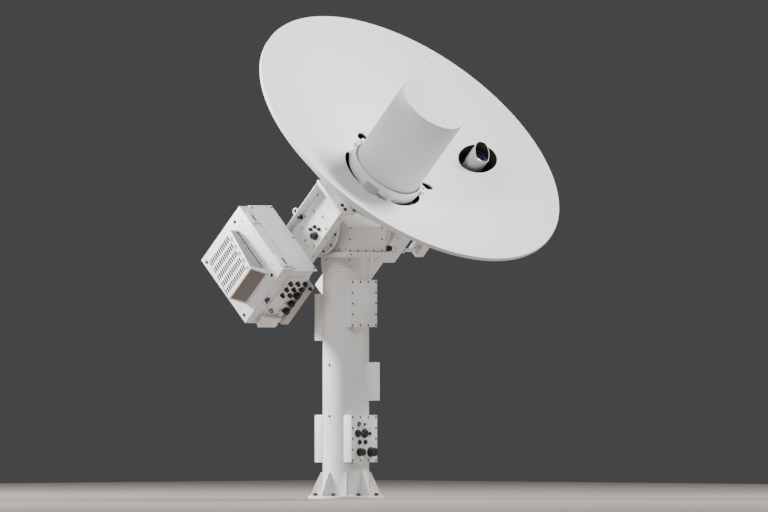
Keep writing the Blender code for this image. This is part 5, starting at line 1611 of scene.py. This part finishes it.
def build_lid():
    """The case lid, its bolts and seal, and what it carries."""
    low, high = own_box("case_lid", TIP)
    t = CASE_WALL
    lid = slab("lid_shell", (low, high), 0.0035, "lid", "panel_paint", TIP, ["case_lid"])
    carve_block(lid, (low.x + t, low.y + t, low.z + t),
                (high.x + 0.01, high.y - t, high.z - t), TIP)
    vent = bmesh.new()
    motor, latch = own_box("fan_motor", TIP), own_box("lid_latch", TIP)
    y, z = middle(motor, 1), middle(motor, 2)
    rod(vent, (low.x - 0.01, y, z), (low.x + 0.01, y, z), 0.090, 72)
    latch_x, latch_y = middle(latch, 0), middle(latch, 1)
    rod(vent, (latch_x, latch_y, low.z - 0.01), (latch_x, latch_y, low.z + 0.01), 0.0072, 24)
    carve(lid, vent, TIP)

    heads = bmesh.new()
    for f, u in ((-0.251, 0.318), (-0.648, 0.317), (-0.253, -0.207), (-0.645, -0.208)):
        screw(heads, (low.x, -f, u), (-1, 0, 0), 0.0085, 0.006, 16, washer=0.0125)
    for f, u in ((-0.197, 0.266), (-0.198, -0.156)):
        screw(heads, (low.x, -f, u), (-1, 0, 0), 0.005, 0.003, 12)
    piece("lid_bolts", heads, "lid", "screw_steel_darkened_as_shade", TIP)
    strip = bmesh.new()
    block(strip, (high.x - 0.003, low.y + 0.002, low.z + 0.002),
          (high.x - 0.0004, low.y + 0.010, high.z - 0.002), 0.0005)
    block(strip, (high.x - 0.003, high.y - 0.010, low.z + 0.002),
          (high.x - 0.0004, high.y - 0.002, high.z - 0.002), 0.0005)
    piece("lid_seal", strip, "lid", "black_seal_and_painted_shade", TIP)
    build_hood(low.x)
    build_fan(y, z, low.x)
    build_latch(latch_x, latch_y, low.z)


HOOD_Y = (0.268, 0.575)         # its near and far sides
HOOD_U = (-0.177, -0.120, 0.255)    # its foot, its corner and its top
HOOD_OUT = (0.135, 0.080)       # how far the slope stands out, at the corner and at the top
LOUVRE_ROWS = [0.2150 - 0.0695 * row for row in range(5)]
LOUVRE_STATIONS = [-0.320 - 0.0203 * k for k in range(13)]
PATCH_STATION, PATCH_DROP = -0.293, 0.033


def on_slope(base, f, u, shape, sink=0.0):
    """Moves a shape onto the hood's slope, and sinks it if asked."""
    deep, shallow = HOOD_OUT
    edge_u, top_u = HOOD_U[1:]
    lean = math.atan2(deep - shallow, top_u - edge_u)
    share = (u - edge_u) / (top_u - edge_u)
    place = Vector((base - deep + (deep - shallow) * share, -f, u))
    shift = (Matrix.Translation(place) @ Matrix.Rotation(lean, 4, "Y")
             @ Matrix.Translation((sink, 0, 0)))
    bmesh.ops.transform(shape, verts=shape.verts, matrix=shift)
    return shape


def build_hood(face_x):
    """The lid's vent hood: louvred slope, meshed end and side, black sheets of painted shade
    inside.
    """
    base = face_x - 0.0003
    deep, shallow = HOOD_OUT
    end_u, edge_u, top_u = HOOD_U
    near, far = HOOD_Y
    t = 0.003

    def wedge(inset, foot):
        return [(foot, end_u + inset), (base - deep + inset, edge_u + inset),
                (base - shallow + inset, top_u - inset), (foot, top_u - inset)]

    bm = bmesh.new()
    prism(bm, wedge(0, base), "Y", (near, far), 0.002)
    hood = piece("hood_shell", bm, "lid", "panel_paint", TIP, ["vent_hood"])
    inside = bmesh.new()
    prism(inside, wedge(t, base + 0.01), "Y", (near + t, far - t))
    carve(hood, inside, TIP)

    slots = bmesh.new()
    for u in LOUVRE_ROWS:
        for f in LOUVRE_STATIONS:
            one = bmesh.new()
            block(one, (-0.012, -0.0068, -0.0255), (0.012, 0.0068, 0.0255), 0.0015, 1)
            pour(slots, on_slope(base, f, u, one))
        one = bmesh.new()
        block(one, (-0.012, -0.014, -0.017), (0.012, 0.014, 0.017), 0.003, 1)
        pour(slots, on_slope(base, PATCH_STATION, u - PATCH_DROP, one))
    carve(hood, slots, TIP)
    open_hood_windows(hood, base)
    build_hood_shade_sheets(base)
    build_hood_meshes(base)


def open_hood_windows(hood, base):
    """Cuts the openings of the hood's near side and of its lower end."""
    deep, shallow = HOOD_OUT
    end_u, edge_u, top_u = HOOD_U
    near, far = HOOD_Y
    windows = bmesh.new()
    rim_u = top_u - 0.014
    prism(windows, [(base - 0.038, end_u + 0.046), (base - deep + 0.010, edge_u + 0.016),
                    (base - shallow + 0.006, rim_u), (base - 0.038, rim_u)],
          "Y", (near - 0.01, near + 0.01))
    block(windows, (base - 0.032, near - 0.01, end_u + 0.050),
          (base - 0.005, near + 0.01, rim_u))
    prism(windows, [(base - 0.012, near + 0.012), (base - deep + 0.010, near + 0.012),
                    (base - deep + 0.010, far - 0.012), (base - 0.012, far - 0.012)],
          "Z", (end_u - 0.01, edge_u + 0.0001))
    carve(hood, windows, TIP)


def build_hood_shade_sheets(base):
    """Black sheets of painted shade behind the louvres, the near side and the lower end."""
    deep, shallow = HOOD_OUT
    end_u, edge_u, top_u = HOOD_U
    near, far = HOOD_Y
    shade_sheets = bmesh.new()
    prism(shade_sheets, [(base - deep + 0.016, edge_u + 0.012), (base - shallow + 0.016, top_u - 0.005),
                 (base - shallow + 0.018, top_u - 0.005), (base - deep + 0.018, edge_u + 0.012)],
          "Y", (near + 0.018, far - 0.004))
    prism(shade_sheets, [(base - 0.003, end_u + 0.020), (base - deep + 0.016, edge_u + 0.010),
                 (base - shallow + 0.012, top_u - 0.006), (base - 0.003, top_u - 0.006)],
          "Y", (near + 0.014, near + 0.016))
    prism(shade_sheets, [(base - 0.006, end_u + 0.016), (base - deep + 0.012, edge_u + 0.010),
                 (base - deep + 0.012, edge_u + 0.012), (base - 0.006, end_u + 0.018)],
          "Y", (near + 0.018, far - 0.004))
    # black sheets as painted shade inside the hood
    piece("hood_shade_sheets", shade_sheets, "lid", "black_seal_and_painted_shade", TIP)


def build_hood_meshes(base):
    """Woven meshes in the hood's openings and in the small patches on its slope."""
    deep, shallow = HOOD_OUT
    end_u, edge_u, top_u = HOOD_U
    near, far = HOOD_Y
    mesh_end = bmesh.new()
    in_x, out_x = base - 0.003, base - deep + 0.004
    perforated(mesh_end, [
        (in_x, near + 0.004, end_u + 0.0045), (in_x, far - 0.004, end_u + 0.0045),
        (out_x, far - 0.004, edge_u + 0.0045), (out_x, near + 0.004, edge_u + 0.0045),
    ], 24, 12, 0.30, 0.0015)
    # the down-facing end mesh in the mesh colour darkened as painted shade
    piece("hood_end_mesh", mesh_end, "lid", "mesh_darkened_as_shade", TIP)
    mesh_side = bmesh.new()
    inner_y = near + 0.0045
    perforated(mesh_side, [
        (base - 0.035, inner_y, end_u + 0.042), (base - 0.035, inner_y, top_u - 0.010),
        (base - shallow + 0.004, inner_y, top_u - 0.010),
        (base - deep + 0.008, inner_y, edge_u + 0.010),
    ], 30, 6, 0.36, 0.0012)
    piece("hood_side_mesh", mesh_side, "lid", "mesh_grey", TIP)
    patches = bmesh.new()
    for u in LOUVRE_ROWS:
        one = bmesh.new()
        perforated(one, [(0, -0.017, -0.020), (0, 0.017, -0.020), (0, 0.017, 0.020),
                         (0, -0.017, 0.020)], 5, 6, 0.22, 0.0012)
        pour(patches, on_slope(base, PATCH_STATION, u - PATCH_DROP, one, 0.0045))
    piece("hood_patches", patches, "lid", "mesh_grey", TIP)


def build_fan(y, z, face_x):
    """The impeller and the bar that holds its motor in the lid."""
    low, high = own_box("fan_rotor", TIP)
    hub, tip_r = 0.028, 0.084
    bore = 0.0046
    bm = bmesh.new()
    turned(bm, [(bore, low.x + 0.0005), (hub - 0.002, low.x), (hub, low.x + 0.002),
                (hub, high.x - 0.002), (hub - 0.002, high.x), (bore, high.x - 0.0005)], "X",
           (0, y, z), 48)
    middle = (low.x + high.x) / 2

    def blade(one):
        bmesh.ops.create_grid(one, x_segments=6, y_segments=10, size=0.5)
        for vertex in one.verts:
            across, out = vertex.co.x, vertex.co.y + 0.5
            radius = hub - 0.003 + (tip_r - hub + 0.003) * out
            width = 0.034 + 0.022 * out
            pitch = math.radians(42 - 20 * out)
            camber = 0.0045 * (1 - (2 * across) ** 2)
            s = across * width
            vertex.co = (s * math.sin(pitch) * 0.55 + camber,
                         s * math.cos(pitch) + 0.006 * out, radius)
        bmesh.ops.recalc_face_normals(one, faces=one.faces)
        bmesh.ops.solidify(one, geom=one.faces[:], thickness=0.0018)

    blades = wheel(blade, "X", range(0, 360, 72))
    bmesh.ops.translate(blades, verts=blades.verts, vec=(middle, y, z))
    pour(bm, blades)
    piece("fan_impeller", bm, "fan", "black_moulding", TIP, ["fan_rotor"])
    reach = 0.110
    back = high.x + 0.004
    bm = bmesh.new()
    rod(bm, (back, y, z), (back + 0.012, y, z), 0.030, 40, 0.0015)
    rod(bm, (low.x - 0.002, y, z), (back + 0.002, y, z), 0.004, 20, 0.0005)
    block(bm, (back + 0.002, y - reach, z - 0.008), (back + 0.010, y + reach, z + 0.008), 0.001)
    for side in (-1, 1):
        foot_y = y + side * (reach - 0.004)
        block(bm, (face_x + 0.0034, foot_y - 0.004, z - 0.008),
              (back + 0.004, foot_y + 0.004, z + 0.008), 0.001)
    piece("fan_motor_bar", bm, "lid", "motor_enamel", TIP, ["fan_motor"])


def build_latch(x, y, skin):
    """The quarter-turn latch and the rose round it."""
    bm = bmesh.new()
    turned(bm, [(0, skin + 0.006), (0.006, skin + 0.006), (0.006, skin - 0.001),
                (0.013, skin - 0.001), (0.014, skin - 0.002), (0.014, skin - 0.009),
                (0.013, skin - 0.010), (0, skin - 0.010)], "Z", (x, y, 0), 40)
    block(bm, (x - 0.006, y - 0.026, skin - 0.022), (x + 0.006, y + 0.026, skin - 0.0098),
          0.0025)
    piece("latch_handle", bm, "latch", "violet_moulding", TIP, ["lid_latch"])
    rose = bmesh.new()
    turned(rose, [(0.0150, skin - SKIN), (0.020, skin - SKIN), (0.020, skin - 0.003),
                  (0.0185, skin - 0.004), (0.0150, skin - 0.004)], "Z", (x, y, 0), 40)
    piece("latch_rose", rose, "lid", "black_moulding", TIP)


# ---------------------------------------------------------------- studio
def build_studio():
    """A plain floor, a dim sky and four soft lamps."""
    bm = bmesh.new()
    bmesh.ops.create_grid(bm, x_segments=1, y_segments=1, size=9.0,
                          matrix=Matrix.Translation((0, 0, -0.001)))
    mesh = bpy.data.meshes.new("floor")
    bm.to_mesh(mesh)
    bm.free()
    material = coated("studio_floor", (0.235, 0.215, 0.20), 0.55, cloud=0.02, peel=0.05,
                      peel_scale=60.0, dust=0.0, runs=0.0)
    mesh.materials.append(material)
    floor = bpy.data.objects.new("floor", mesh)
    bpy.context.scene.collection.objects.link(floor)

    world = bpy.data.worlds.new("studio")
    bpy.context.scene.world = world
    world.use_nodes = True
    sky = world.node_tree.nodes["Background"]
    sky.inputs["Color"].default_value = (0.60, 0.61, 0.64, 1)
    sky.inputs["Strength"].default_value = 0.11

    target = Vector((0, -0.25, 1.9))
    for name, place, size, power in (
        ("left", (-5.5, 6.5, 5.5), 2.2, 2700),
        ("top_right", (4.5, -4.0, 8.0), 2.4, 1500),
        ("top_left", (-7.5, -3.4, 7.5), 2.4, 480),
        ("right", (7.0, -7.0, 3.0), 4.0, 210),
    ):
        light = bpy.data.lights.new(name, "AREA")
        light.size = size
        light.energy = power
        lamp = bpy.data.objects.new(name, light)
        bpy.context.scene.collection.objects.link(lamp)
        lamp.location = place
        lamp.rotation_euler = (target - Vector(place)).to_track_quat("-Z", "Y").to_euler()


CAMERA_AZIMUTH = -45
CAMERA_AIM = (0.1886, -0.1886, 1.698)
CAMERA_DISTANCE = 150.0
CAMERA_LENS = 1004.5


def build_view():
    """A distant camera with a long lens, level with the middle."""
    view = bpy.data.cameras.new("view")
    view.lens = CAMERA_LENS
    view.sensor_width = 36
    view.clip_end = 400
    camera = bpy.data.objects.new("view", view)
    bpy.context.scene.collection.objects.link(camera)
    turn = math.radians(CAMERA_AZIMUTH)
    away = Vector((math.sin(turn), -math.cos(turn), 0))
    camera.location = Vector(CAMERA_AIM) + away * CAMERA_DISTANCE
    camera.rotation_euler = (-away).to_track_quat("-Z", "Y").to_euler()
    bpy.context.scene.camera = camera


for build in (build_base, build_column_shell, build_column_boxes, build_turntable, build_head,
              build_bearings, build_arms, build_hubs, build_mount_plate, build_backing,
              build_dish, build_clamp_ring, build_radome, build_camera, build_right_side,
              build_case, build_gland_field, build_lid, build_studio, build_view):
    build()
